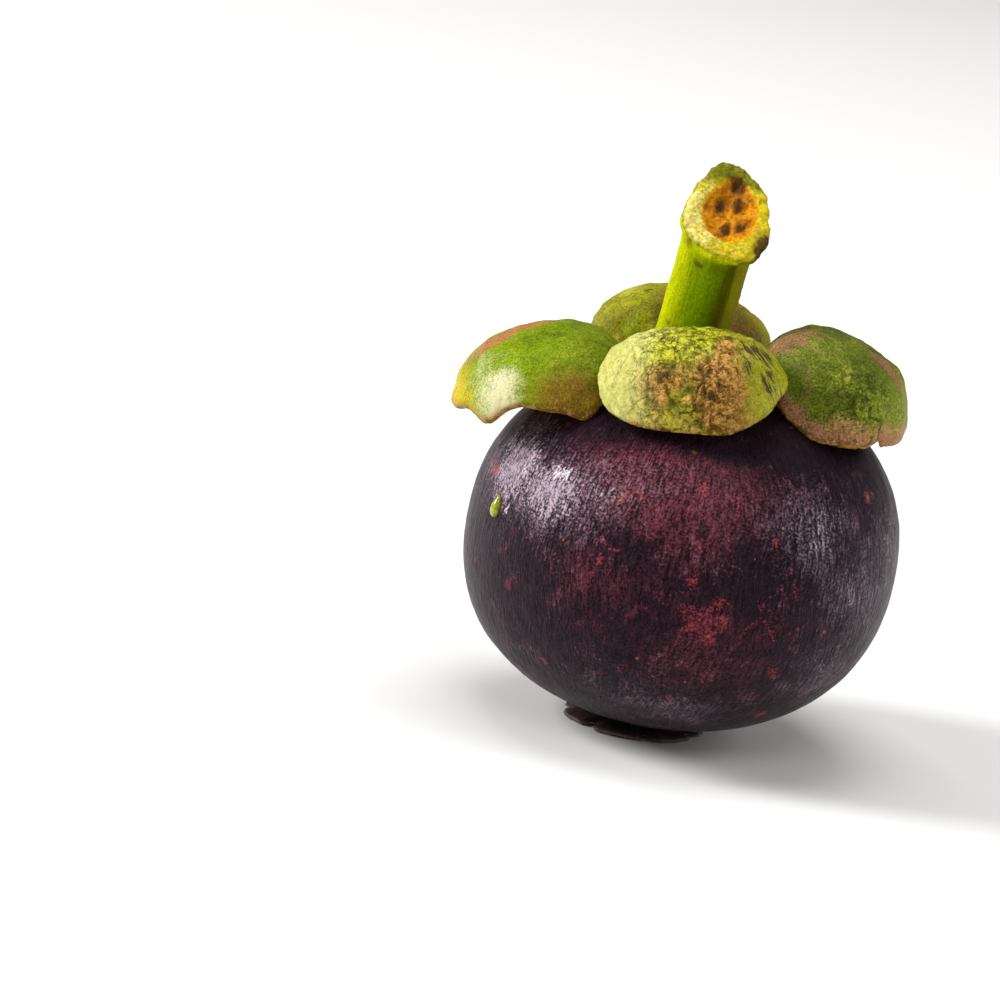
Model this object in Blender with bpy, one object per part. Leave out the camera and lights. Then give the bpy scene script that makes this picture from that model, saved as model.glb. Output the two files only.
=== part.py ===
"""A whole mangosteen at life size, standing upright on its stigma rosette.

The fruit's axis is +Z, the origin is the middle of the rosette's flat underside, and the front
sepal faces -Y. Lengths are in metres. Each piece starts as a primitive whose points are then moved
by a formula, and the pieces stay a small gap apart.
"""

import math
from dataclasses import dataclass

import bmesh
import bpy
from mathutils import Matrix, Vector, noise

MM = 0.001
GAP = 0.35 * MM  # between neighbouring pieces

# Rind: a globe a little wider than tall, square-shouldered, and fuller on its +X side.
RIND_RADIUS = 30.4 * MM
RIND_HEIGHT_ABOVE = 25.7 * MM  # from its widest level to the top
RIND_HEIGHT_BELOW = 25.0 * MM
RIND_SQUARENESS = 2.24
RIND_SHIFT = 2.5 * MM  # of its widest level towards +X
RIND_LEAN = 0.04
RIND_DENTS = 0.3 * MM
RIND_DENT_SIZE = 19.0 * MM
STEM_HOLLOW_DEPTH = 1.2 * MM
STEM_HOLLOW_RADIUS = 8.0 * MM

# Stigma rosette: seven wedge-shaped lobes in one woody plate, flat underneath.
ROSETTE_LOBES = 7
ROSETTE_RADIUS = 10.1 * MM
ROSETTE_THICKNESS = 1.15 * MM
ROSETTE_NOTCH_DEPTH = 1.5 * MM
ROSETTE_NOTCH_ANGLE = math.radians(5.0)
ROSETTE_GROOVE = 0.45 * MM
ROSETTE_HUB = 1.6 * MM

RIND_CENTRE_Z = ROSETTE_THICKNESS + GAP + RIND_HEIGHT_BELOW
RIND_TOP_Z = RIND_CENTRE_Z + RIND_HEIGHT_ABOVE

# Stem: four-angled, flared at its slanting cut, with the pith sunk below the rim.
STEM_FOOT_Z = RIND_TOP_Z - STEM_HOLLOW_DEPTH + GAP
STEM_FOOT_X = -1.7 * MM
STEM_LENGTH = 24.0 * MM
STEM_RADIUS = 5.2 * MM
STEM_FOOT_RADIUS = 5.9 * MM
STEM_RIM_RADIUS = 5.7 * MM
STEM_PITH_RADIUS = 3.6 * MM
STEM_PITH_DEPTH = 1.9 * MM
STEM_RIDGE = 0.28 * MM
STEM_RIDGE_TURN = math.radians(20)
STEM_CUT_SLOPE = math.tan(math.radians(44))
STEM_LIP = 0.9 * MM
STEM_LIP_TURN = math.radians(-35)
STEM_EGG = 0.14  # share by which the cut narrows on its far side
STEM_EGG_TURN = math.radians(40)
STEM_LEAN = 0.13  # towards +X

# Latex bead: a dried drop that ran out of the rind.
BEAD_TURN = math.radians(-149)
BEAD_HEIGHT = 4.5 * MM  # above the rind's centre
BEAD_SIZE = Vector((0.7, 0.85, 1.6)) * MM


SEPAL_TURNS = 36  # points round each sepal
SEPAL_MARGIN_SHARE = 0.6  # of its thickness that is left at the margin


@dataclass(frozen=True)
class Sepal:
    """One cupped sepal, cut from the shell of an ellipsoid that lies over the fruit's shoulder.

    Its own axes are: along, from the stem to the tip; across; and up, out of the crown.
    """

    name: str
    turn: float  # direction from the stem, in degrees from +X
    reach: float  # of the shell's centre from the fruit's axis
    side: float  # shift of the centre to the left of that direction
    height: float  # of the shell's centre above the rind's centre
    droop: float  # of the tip below the horizontal, in degrees
    roll: float  # about the length, in degrees
    length: float  # half of the shell's length
    width: float  # half of its width
    rise: float  # half of its height
    tip_angle: float  # from the crown to the margin at the tip, in degrees
    side_angle: float  # and at the two sides
    stem_angle: float  # and towards the stem
    tip_reach: float = 0.0  # how far the tip is drawn out
    wave: float = 0.0  # depth of the margin's waves, in degrees
    fullness: float = 2.0  # above 2 the shell is squarer from the side
    corners: float = 2.0  # above 2 it is squarer from above
    thickness: float = 1.9 * MM


SEPALS = (
    Sepal("sepal_front", -90, 14.7 * MM, 0.4 * MM, 24.0 * MM, 30, 8, 9.1 * MM, 13.2 * MM, 8.7 * MM,
          116, 114, 150, wave=4, fullness=2.3, corners=2.2),
    Sepal("sepal_right", -6, 18.8 * MM, 0.0 * MM, 23.0 * MM, 20, 0, 11.7 * MM, 12.4 * MM, 11.7 * MM,
          90, 92, 150, wave=3, fullness=2.1, corners=2.2),
    Sepal("sepal_back", 101, 15.4 * MM, 0.8 * MM, 25.4 * MM, 24, 0, 8.8 * MM, 13.4 * MM, 8.8 * MM,
          116, 114, 150, wave=3, fullness=2.2, corners=2.2),
    Sepal("sepal_left", 188, 18.4 * MM, 0.0 * MM, 17.3 * MM, 22, 0, 14.5 * MM, 14.6 * MM, 11.3 * MM,
          78, 87, 150, tip_reach=0.6 * MM, wave=3, corners=2.8),
)

# The seams between sepals, from the front one's left: direction in degrees, and how far each
# leans so that one sepal lies over its neighbour.
SEAMS = ((-126, 0.32), (-48, -0.12), (47, 0.12), (142, -0.2))
SEAM_LEVEL = 22.0 * MM  # above the rind's widest level, where a leaning seam has its direction

COLOURS = {
    "rind": ((0.035, 0.014, 0.020), 0.42),
    "sepal": ((0.36, 0.42, 0.08), 0.50),
    "stem": ((0.26, 0.38, 0.03), 0.42),
    "rosette": ((0.040, 0.018, 0.016), 0.70),
    "latex": ((0.55, 0.50, 0.05), 0.20),
}


def smooth_step(low, high, value):
    """0 below low, 1 above high, and an even ease between them."""
    share = min(max((value - low) / (high - low), 0.0), 1.0)
    return share * share * (3.0 - 2.0 * share)


def clear_scene():
    """Removes whatever the scene held."""
    for item in list(bpy.data.objects):
        bpy.data.objects.remove(item)


def material_named(name):
    """The Principled material of one finish."""
    found = bpy.data.materials.get(name)
    if found:
        return found
    colour, roughness = COLOURS[name]
    made = bpy.data.materials.new(name)
    made.use_nodes = True
    shader = made.node_tree.nodes["Principled BSDF"]
    shader.inputs["Base Color"].default_value = (*colour, 1.0)
    shader.inputs["Roughness"].default_value = roughness
    shader.inputs["Metallic"].default_value = 0.0
    return made


def object_from(bm, name, finish, collection):
    """A smooth-shaded object in the fruit's collection, made from bm."""
    bmesh.ops.recalc_face_normals(bm, faces=bm.faces)
    mesh = bpy.data.meshes.new(name)
    bm.to_mesh(mesh)
    bm.free()
    mesh.shade_smooth()
    mesh.set_sharp_from_angle(angle=math.radians(40))
    mesh.materials.append(material_named(finish))
    made = bpy.data.objects.new(name, mesh)
    collection.objects.link(made)
    return made


def moved_sphere(place, around, along):
    """A bmesh sphere whose points go where place(polar angle, turn) says."""
    bm = bmesh.new()
    bmesh.ops.create_uvsphere(bm, u_segments=around, v_segments=along, radius=1.0)
    for vertex in bm.verts:
        polar = math.acos(min(max(vertex.co.z, -1.0), 1.0))
        turn = math.atan2(vertex.co.y, vertex.co.x)
        vertex.co = place(polar, turn)
    return bm


def rind_middle(height):
    """The x of the rind's middle at a height above its widest level."""
    return RIND_SHIFT + RIND_LEAN * height


def rind_point(polar, turn):
    """A point of the rind's surface, by its angle from the top and its turn from +X."""
    power = 2.0 / RIND_SQUARENESS
    rise, spread = math.cos(polar), abs(math.sin(polar))
    height = abs(rise) ** power * (RIND_HEIGHT_ABOVE if rise > 0 else -RIND_HEIGHT_BELOW)
    radius = spread**power * RIND_RADIUS
    point = Vector((radius * math.cos(turn), radius * math.sin(turn), height))
    if spread > 1e-6:
        dent = noise.noise(point / RIND_DENT_SIZE) * RIND_DENTS * smooth_step(0.1, 0.5, spread)
        point += point.normalized() * dent
    if height > 0:
        point.z -= STEM_HOLLOW_DEPTH * math.exp(-((radius / STEM_HOLLOW_RADIUS) ** 2))
    point.x += rind_middle(height)
    point.z += RIND_CENTRE_Z
    return point


def inside_rind(point, clearance):
    """Whether the point is in the rind or closer to it than the clearance."""
    height = point.z - RIND_CENTRE_Z
    half = (RIND_HEIGHT_ABOVE if height > 0 else RIND_HEIGHT_BELOW) + clearance
    if abs(height) >= half:
        return False
    radius = math.hypot(point.x - rind_middle(height), point.y) / (RIND_RADIUS + clearance)
    return radius**RIND_SQUARENESS + abs(height / half) ** RIND_SQUARENESS < 1.0


def stem_middle(height):
    """The x of the stem's axis at a height above its foot."""
    return STEM_FOOT_X + STEM_LEAN * max(height, 0.0)


def near_stem(point, clearance):
    """Whether the point is closer to the stem than the clearance."""
    distance = math.hypot(point.x - stem_middle(point.z - STEM_FOOT_Z), point.y)
    return distance < STEM_FOOT_RADIUS + clearance


def past_seam(sepal, point, clearance):
    """Whether the point crosses the seams between the sepal and its two neighbours."""
    place = SEPALS.index(sepal)
    level = point.z - RIND_CENTRE_Z - SEAM_LEVEL
    for (seam, lean), side in ((SEAMS[place], 1), (SEAMS[(place + 1) % len(SEAMS)], -1)):
        turn = math.radians(seam)
        inward = side * (point.y * math.cos(turn) - point.x * math.sin(turn) + lean * level)
        if inward < clearance * math.hypot(1.0, lean):
            return True
    return False


def sepal_axes(sepal):
    """The sepal's own axes as the columns of a matrix: along, across and up."""
    turned = Matrix.Rotation(math.radians(sepal.turn), 3, "Z")
    drooped = Matrix.Rotation(math.radians(sepal.droop), 3, "Y")
    rolled = Matrix.Rotation(math.radians(sepal.roll), 3, "X")
    return turned @ drooped @ rolled


def sepal_point(sepal, angle, turn, depth):
    """A point of the sepal by its angle from the crown, its turn from the tip, and its depth."""
    sizes = [size - depth for size in (sepal.length, sepal.width, sepal.rise)]
    power = 2.0 / sepal.fullness
    corners = sepal.corners
    plan = (abs(math.cos(turn)) ** corners + abs(math.sin(turn)) ** corners) ** (-1 / corners)
    spread = math.sin(angle) ** power * plan
    own = Vector((
        sizes[0] * spread * math.cos(turn),
        sizes[1] * spread * math.sin(turn),
        sizes[2] * math.copysign(abs(math.cos(angle)) ** power, math.cos(angle)),
    ))
    towards_tip = max(math.cos(turn), 0.0) ** 6
    own.x += sepal.tip_reach * towards_tip * smooth_step(0.0, math.radians(95), angle)
    heading = math.radians(sepal.turn)
    centre = Vector((
        sepal.reach * math.cos(heading) - sepal.side * math.sin(heading),
        sepal.reach * math.sin(heading) + sepal.side * math.cos(heading),
        RIND_CENTRE_Z + sepal.height,
    ))
    return centre + sepal_axes(sepal) @ own


def margin_angle(sepal, turn):
    """How far the sepal runs from its crown, up to where it meets the rind or the stem."""
    tipward = math.cos(turn)
    end_angle = sepal.tip_angle if tipward > 0 else sepal.stem_angle
    most = sepal.side_angle + (end_angle - sepal.side_angle) * tipward * tipward
    most += sepal.wave * math.sin(3 * turn + math.radians(sepal.turn)) * math.cos(2 * turn)
    low, high = math.radians(30), math.radians(most)
    margin_thickness = sepal.thickness * SEPAL_MARGIN_SHARE

    def touches(angle):
        ends = [sepal_point(sepal, angle, turn, depth) for depth in (0.0, margin_thickness)]
        return any(
            inside_rind(end, GAP) or near_stem(end, GAP) or past_seam(sepal, end, GAP / 2)
            for end in ends
        )

    steps = 60
    free = low
    for step in range(1, steps + 1):
        angle = low + (high - low) * step / steps
        if touches(angle):
            break
        free = angle
    else:
        return high
    blocked = free + (high - low) / steps
    for _ in range(8):
        middle = (free + blocked) / 2
        if touches(middle):
            blocked = middle
        else:
            free = middle
    return free


def smooth_margins(sepal):
    """The margin's angle at even turns all round, eased without ever running further out."""
    free = [margin_angle(sepal, 2 * math.pi * i / SEPAL_TURNS) for i in range(SEPAL_TURNS)]
    window = range(-1, 2)
    least = [min(free[(i + j) % SEPAL_TURNS] for j in window) for i in range(SEPAL_TURNS)]
    return [
        sum(least[(i + j) % SEPAL_TURNS] for j in window) / len(window)
        for i in range(SEPAL_TURNS)
    ]


def make_sepal(sepal, collection):
    """A closed shell: the sphere's upper half is its outer face, and the lower half its inner."""
    margins = smooth_margins(sepal)

    def place(polar, turn):
        margin = margins[round(turn / (2 * math.pi) * SEPAL_TURNS) % SEPAL_TURNS]
        outer = polar < math.pi / 2
        spread = (polar if outer else math.pi - polar) / (math.pi / 2)
        edge = smooth_step(math.radians(84), math.radians(96), polar)
        thinned = (1.0 - SEPAL_MARGIN_SHARE) * smooth_step(0.5, 1.0, spread)
        thickness = sepal.thickness * (1.0 - thinned)
        return sepal_point(sepal, spread * margin, turn, edge * thickness)

    return object_from(moved_sphere(place, SEPAL_TURNS, 18), sepal.name, "sepal", collection)


def make_rind(collection):
    """The fruit's globe."""
    return object_from(moved_sphere(rind_point, 56, 36), "rind", "rind", collection)


def rosette_notch(turn):
    """1 in the notch between two lobes, and 0 in the middle of a lobe."""
    pitch = 2 * math.pi / ROSETTE_LOBES
    away = abs(turn % pitch - pitch / 2)
    return math.exp(-((away / ROSETTE_NOTCH_ANGLE) ** 2))


def rosette_point(polar, turn):
    """A point of the rosette: the sphere's lower half is its flat underside."""
    notch = rosette_notch(turn)
    upper = polar < math.pi / 2
    share = (polar if upper else math.pi - polar) / (math.pi / 2)
    radius = share * (ROSETTE_RADIUS - ROSETTE_NOTCH_DEPTH * notch * smooth_step(0.3, 1.0, share))
    height = ROSETTE_THICKNESS * (1.0 - 0.25 * smooth_step(0.6, 1.0, share)) if upper else 0.0
    if not upper:
        height = ROSETTE_GROOVE * notch * smooth_step(ROSETTE_HUB, 2.5 * ROSETTE_HUB, radius)
    return Vector((radius * math.cos(turn), radius * math.sin(turn), height))


def make_rosette(collection):
    """The persistent stigma that the fruit stands on."""
    bm = moved_sphere(rosette_point, 8 * ROSETTE_LOBES, 13)
    return object_from(bm, "stigma_rosette", "rosette", collection)


def stem_profile():
    """The stem's outline from its foot's centre, up the side, over the rim and into the pith."""
    top = STEM_LENGTH
    outline = [
        (0.0, 0.0),
        (STEM_FOOT_RADIUS * 0.6, 0.0),
        (STEM_FOOT_RADIUS, 0.0),
        (STEM_FOOT_RADIUS, 0.9 * MM),
        (STEM_RADIUS + 0.2 * MM, 2.6 * MM),
    ]
    outline += [(STEM_RADIUS, top * share) for share in (0.25, 0.4, 0.55, 0.7, 0.8)]
    outline += [
        (STEM_RADIUS + 0.25 * MM, top * 0.88),
        (STEM_RIM_RADIUS, top - 1.0 * MM),
        (STEM_RIM_RADIUS, top - 0.3 * MM),
        (STEM_RIM_RADIUS - 0.7 * MM, top),
        (STEM_PITH_RADIUS + 0.5 * MM, top - 0.3 * MM),
        (STEM_PITH_RADIUS, top - 0.7 * STEM_PITH_DEPTH),
        (STEM_PITH_RADIUS * 0.7, top - STEM_PITH_DEPTH),
        (0.0, top - STEM_PITH_DEPTH),
    ]
    return outline


def make_stem(collection):
    """The cut stem, spun from its outline and then ridged, cut on the slant and bent."""
    bm = bmesh.new()
    verts = [bm.verts.new((radius, 0.0, height)) for radius, height in stem_profile()]
    edges = [bm.edges.new(pair) for pair in zip(verts, verts[1:])]
    bmesh.ops.spin(bm, geom=verts + edges, axis=(0, 0, 1), cent=(0, 0, 0),
                   angle=2 * math.pi, steps=36, use_merge=True)
    bmesh.ops.remove_doubles(bm, verts=bm.verts, dist=0.001 * MM)
    for vertex in bm.verts:
        radius = math.hypot(vertex.co.x, vertex.co.y)
        height = vertex.co.z
        turn = math.atan2(vertex.co.y, vertex.co.x)
        if radius > 1e-6:
            outward = smooth_step(STEM_PITH_RADIUS, STEM_RADIUS, radius)
            ridge = STEM_RIDGE * math.cos(4 * (turn - STEM_RIDGE_TURN))
            lip = STEM_LIP * max(math.cos(turn - STEM_LIP_TURN), 0.0) ** 3
            lip *= smooth_step(0.82, 0.98, height / STEM_LENGTH)
            egg = STEM_EGG * max(math.cos(turn - STEM_EGG_TURN), 0.0) ** 2
            egg *= radius * smooth_step(0.8, 0.98, height / STEM_LENGTH)
            grown = radius + (ridge + lip) * outward - egg
            vertex.co.x, vertex.co.y = grown * math.cos(turn), grown * math.sin(turn)
        slant = smooth_step(0.35, 1.0, height / STEM_LENGTH)
        vertex.co.z += STEM_CUT_SLOPE * vertex.co.y * slant
        vertex.co.x += stem_middle(vertex.co.z)
        vertex.co.z += STEM_FOOT_Z
    return object_from(bm, "stem", "stem", collection)


def make_latex_bead(collection):
    """The small drop of dried latex, lying against the rind."""
    share = BEAD_HEIGHT / RIND_HEIGHT_ABOVE
    polar = math.acos(share ** (RIND_SQUARENESS / 2))
    seat = rind_point(polar, BEAD_TURN)
    step = 0.01
    down = rind_point(polar + step, BEAD_TURN) - seat
    around = rind_point(polar, BEAD_TURN + step) - seat
    outward = down.cross(around).normalized()
    axes = Matrix((outward, around.normalized(), outward.cross(around).normalized())).transposed()

    def place(polar_angle, turn):
        own = Vector((
            math.sin(polar_angle) * math.cos(turn) * BEAD_SIZE.x,
            math.sin(polar_angle) * math.sin(turn) * BEAD_SIZE.y,
            math.cos(polar_angle) * BEAD_SIZE.z,
        ))
        own.x = max(own.x, -0.1 * BEAD_SIZE.x)
        return seat + outward * (GAP + 0.15 * MM) + axes @ own

    return object_from(moved_sphere(place, 12, 8), "latex_bead", "latex", collection)


def main():
    """Builds the fruit's pieces in one collection."""
    clear_scene()
    collection = bpy.data.collections.new("mangosteen")
    bpy.context.scene.collection.children.link(collection)
    make_rind(collection)
    make_rosette(collection)
    make_stem(collection)
    for sepal in SEPALS:
        make_sepal(sepal, collection)
    make_latex_bead(collection)


main()
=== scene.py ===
"""A whole mangosteen, dressed for the studio.

The fruit's axis is +Z, it stands on its stigma rosette at z = 0, and its front sepal faces -Y.
Lengths are in metres and the sizes of the pieces repeat those of the solids that they stand for.
"""

import logging
import math
from dataclasses import dataclass
from enum import Enum
from typing import Any

import bmesh
import bpy
import numpy as np
from mathutils import Matrix, Vector, noise


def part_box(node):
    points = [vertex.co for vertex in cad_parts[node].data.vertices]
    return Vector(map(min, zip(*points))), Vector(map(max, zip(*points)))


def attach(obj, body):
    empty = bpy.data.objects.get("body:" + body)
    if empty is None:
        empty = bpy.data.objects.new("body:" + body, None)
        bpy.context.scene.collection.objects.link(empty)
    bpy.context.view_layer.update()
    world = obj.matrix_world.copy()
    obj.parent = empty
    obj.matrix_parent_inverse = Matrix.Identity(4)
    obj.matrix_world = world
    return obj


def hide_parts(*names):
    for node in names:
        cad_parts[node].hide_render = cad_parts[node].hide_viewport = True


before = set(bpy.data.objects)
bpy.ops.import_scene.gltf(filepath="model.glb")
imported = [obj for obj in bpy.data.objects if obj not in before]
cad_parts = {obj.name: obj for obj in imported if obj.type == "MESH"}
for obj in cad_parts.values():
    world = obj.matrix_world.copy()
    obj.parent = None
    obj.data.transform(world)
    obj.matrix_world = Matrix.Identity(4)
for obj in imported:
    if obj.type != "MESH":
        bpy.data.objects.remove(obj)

MM = 0.001
Array = np.ndarray

logging.basicConfig(level=logging.INFO, format="%(message)s")
log = logging.getLogger("mangosteen")


# ---------------------------------------------------------------- helpers


def linear(colour: str) -> tuple[float, float, float, float]:
    """Turns a colour into the linear values that shaders take.

    Args:
        colour: sRGB as six hex digits.

    Returns:
        Red, green, blue and an alpha of 1.
    """
    parts = [int(colour[i : i + 2], 16) / 255 for i in (0, 2, 4)]
    red, green, blue = (p / 12.92 if p <= 0.04045 else ((p + 0.055) / 1.055) ** 2.4 for p in parts)
    return red, green, blue, 1.0


def ease(low: float, high: float, value: Array) -> Array:
    """Rises smoothly from 0 to 1.

    Args:
        low: the value where the rise starts.
        high: the value where it ends; below low, the curve falls instead.
        value: the values to ease.

    Returns:
        The eased values.
    """
    share = np.clip((np.asarray(value, float) - low) / (high - low), 0.0, 1.0)
    return share * share * (3.0 - 2.0 * share)


def leanings(cells: Array, seed: int) -> Array:
    """A random direction for each cell of a grid.

    Args:
        cells: whole-numbered places, one row each.
        seed: which directions.

    Returns:
        A unit vector for each cell.
    """
    mixed = (cells * np.array((73856093, 19349663, 83492791))).sum(axis=1) + seed * 7919
    mixed = (mixed ^ (mixed >> 13)) * 1274126177 & 0x7FFFFFFF
    mixed ^= mixed >> 15
    turn = (mixed & 1023) * (2 * math.pi / 1024)
    rise = ((mixed >> 10) & 1023) / 511.5 - 1.0
    flat = np.sqrt(1.0 - rise * rise)
    return np.stack([flat * np.cos(turn), flat * np.sin(turn), rise], axis=1)


def ripple(places: Array, seed: int) -> Array:
    """Smooth random values that change over a distance of about 1.

    Args:
        places: the places to take them at, one row each.
        seed: which values.

    Returns:
        A value between about -1 and 1 for each place.
    """
    cells = np.floor(places).astype(np.int64)
    inside = places - cells
    faded = inside**3 * (inside * (inside * 6 - 15) + 10)
    total = np.zeros(len(places))
    for corner in range(8):
        step = np.array((corner & 1, corner >> 1 & 1, corner >> 2))
        slope = (leanings(cells + step, seed) * (inside - step)).sum(axis=1)
        total += slope * np.prod(np.where(step == 1, faded, 1 - faded), axis=1)
    return 1.5 * total


def mottle(points: Array, size: float, seed: int, octaves: int = 3) -> Array:
    """Cloudy values between about -1 and 1.

    Args:
        points: the places to take them at, one row each.
        size: how wide a cloud is, in the points' unit.
        seed: which clouds.
        octaves: how many finer layers are added.

    Returns:
        One value for each point.
    """
    places = np.asarray(points) / size
    return sum(ripple(places * 2.1**i, seed * 10 + i) * 0.6**i for i in range(octaves))


def wander(points: Array, size: float, seed: int, octaves: int) -> Array:
    """Flat cloudy pushes for each point, in the manner of mottle."""
    return np.stack([mottle(points, size, seed + i, octaves) for i in range(2)], axis=1)


def nearness(points: Array, path: list[tuple[float, float]], width: float) -> Array:
    """How close flat points come to a line of straight strokes.

    Args:
        points: flat points, one row each.
        path: the line's corners.
        width: the distance at which nearness has fallen to about a third.

    Returns:
        1 on the line, falling to 0 away from it.
    """
    best = np.full(len(points), 1e9)
    for start, end in zip(path, path[1:]):
        a, b = np.array(start), np.array(end)
        along = np.clip((points - a) @ (b - a) / ((b - a) @ (b - a)), 0.0, 1.0)
        best = np.minimum(best, np.linalg.norm(points - a - along[:, None] * (b - a), axis=1))
    return np.exp(-((best / width) ** 2))


def spot(points: Array, centre: tuple[float, ...], size: tuple[float, ...]) -> Array:
    """A soft round or oval spot.

    Args:
        points: points, one row each.
        centre: the middle of the spot.
        size: how far it reaches along each axis.

    Returns:
        1 in the middle, falling to 0 outside.
    """
    away = (np.asarray(points) - np.array(centre)) / np.array(size)
    return np.exp(-(away**2).sum(axis=1))


def globe(name: str, around: int, along: int) -> bpy.types.Mesh:
    """A unit sphere to be shaped: a grid wrapped round and closed at its seam and poles.

    Args:
        name: the mesh's name.
        around: points round it.
        along: rings from its top to its bottom.

    Returns:
        The mesh.
    """
    bm = bmesh.new()
    bmesh.ops.create_grid(bm, x_segments=around, y_segments=along, size=1.0)
    for vert in bm.verts:
        turn, polar = math.pi * vert.co.x, math.pi / 2 * (1.0 - vert.co.y)
        ring = math.sin(polar)
        vert.co = (ring * math.cos(turn), ring * math.sin(turn), math.cos(polar))
    bmesh.ops.remove_doubles(bm, verts=bm.verts, dist=1e-6)
    bmesh.ops.recalc_face_normals(bm, faces=bm.faces)
    mesh = bpy.data.meshes.new(name)
    bm.to_mesh(mesh)
    bm.free()
    return mesh


def corners_of(mesh: bpy.types.Mesh) -> Array:
    """The mesh's points, one row each."""
    flat = np.empty(len(mesh.vertices) * 3)
    mesh.vertices.foreach_get("co", flat)
    return flat.reshape(-1, 3)


def outward_of(mesh: bpy.types.Mesh) -> Array:
    """The mesh's outward directions at its points, one row each."""
    flat = np.empty(len(mesh.vertices) * 3)
    mesh.vertex_normals.foreach_get("vector", flat)
    return flat.reshape(-1, 3)


def shape(mesh: bpy.types.Mesh, points: Array) -> None:
    """Moves the mesh's points to the given places.

    Args:
        mesh: the mesh.
        points: a place for each of its points.
    """
    mesh.vertices.foreach_set("co", np.ascontiguousarray(points, float).ravel())
    mesh.update()


def swell(mesh: bpy.types.Mesh, points: Array, heights: Array) -> None:
    """Shapes a mesh and then moves its points outward.

    Args:
        mesh: the mesh.
        points: a place for each of its points.
        heights: how far each one moves out.
    """
    shape(mesh, points)
    shape(mesh, points + outward_of(mesh) * heights[:, None])


def angles_of(mesh: bpy.types.Mesh) -> tuple[Array, Array]:
    """The points of a unit sphere as angles from its top and turns from +X."""
    points = corners_of(mesh)
    return np.arccos(np.clip(points[:, 2], -1, 1)), np.arctan2(points[:, 1], points[:, 0])


def halves(polar: Array) -> tuple[Array, Array]:
    """Folds a unit sphere into the two faces of a plate.

    Args:
        polar: angles from its top.

    Returns:
        Whether each point is on the upper face, and its share of the way out to the plate's edge.
    """
    upper = polar < math.pi / 2
    return upper, np.where(upper, polar, math.pi - polar) / (math.pi / 2)


def wound(radius: Array | float, turn: Array, height: Array | float) -> Array:
    """Points at a radius, a turn from +X and a height, one row each."""
    rows = np.broadcast_arrays(radius * np.cos(turn), radius * np.sin(turn), height)
    return np.stack(rows, axis=1)


def apart(turn: Array, towards: Array | float) -> Array:
    """The angles, from -pi to pi, between turns in radians and a direction in degrees."""
    return np.angle(np.exp(1j * (turn - np.radians(towards))))


def store(mesh: bpy.types.Mesh, name: str, values: Array) -> None:
    """Keeps values on the mesh's points for its material to read.

    Args:
        mesh: the mesh.
        name: the attribute's name.
        values: a number or a row of three for each point.
    """
    kind, key = ("FLOAT_VECTOR", "vector") if np.ndim(values) == 2 else ("FLOAT", "value")
    layer = mesh.attributes.new(name, kind, "POINT")
    layer.data.foreach_set(key, np.ascontiguousarray(values, np.float32).ravel())


def piece(
    mesh: bpy.types.Mesh, material: bpy.types.Material, stands_for: str | None = None
) -> None:
    """Puts a finished mesh into the scene.

    Args:
        mesh: the mesh, already in place.
        material: its finish.
        stands_for: the solid that it replaces, if any.
    """
    if not mesh.materials:
        mesh.materials.append(material)
    mesh.shade_smooth()
    made = bpy.data.objects.new(mesh.name, mesh)
    bpy.context.scene.collection.objects.link(made)
    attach(made, "root")
    if stands_for:
        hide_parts(stands_for)
    log.info("%s: %d faces", made.name, len(mesh.polygons))


# ---------------------------------------------------------------- finishes


def feed(tree: bpy.types.NodeTree, node: bpy.types.Node, inputs: dict[int | str, Any]) -> None:
    """Gives a node its inputs.

    Args:
        tree: the material's nodes.
        node: the node.
        inputs: a value, or a socket to link, for each named or numbered input.
    """
    for name, value in inputs.items():
        if isinstance(value, bpy.types.NodeSocket):
            tree.links.new(value, node.inputs[name])
        else:
            node.inputs[name].default_value = value


def add_node(
    tree: bpy.types.NodeTree,
    kind: str,
    settings: dict[str, Any] | None = None,
    inputs: dict[int | str, Any] | None = None,
) -> bpy.types.Node:
    """Adds one shader node.

    Args:
        tree: the material's nodes.
        kind: the node's type, without the ShaderNode that it starts with.
        settings: its properties.
        inputs: a value, or a socket to link, for each named or numbered input.

    Returns:
        The node.
    """
    node = tree.nodes.new(f"ShaderNode{kind}")
    for name, value in (settings or {}).items():
        setattr(node, name, value)
    feed(tree, node, inputs or {})
    return node


@dataclass(frozen=True)
class Cloud:
    """One layer of noise: how large its clouds are, and how fine, strong and bent their detail."""

    size: float  # in metres, or in threads where it follows the grain
    detail: float
    rough: float
    warp: float = 0.0
    on: str = "place"  # or "grain", or "ragged" for places that are pushed about


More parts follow.
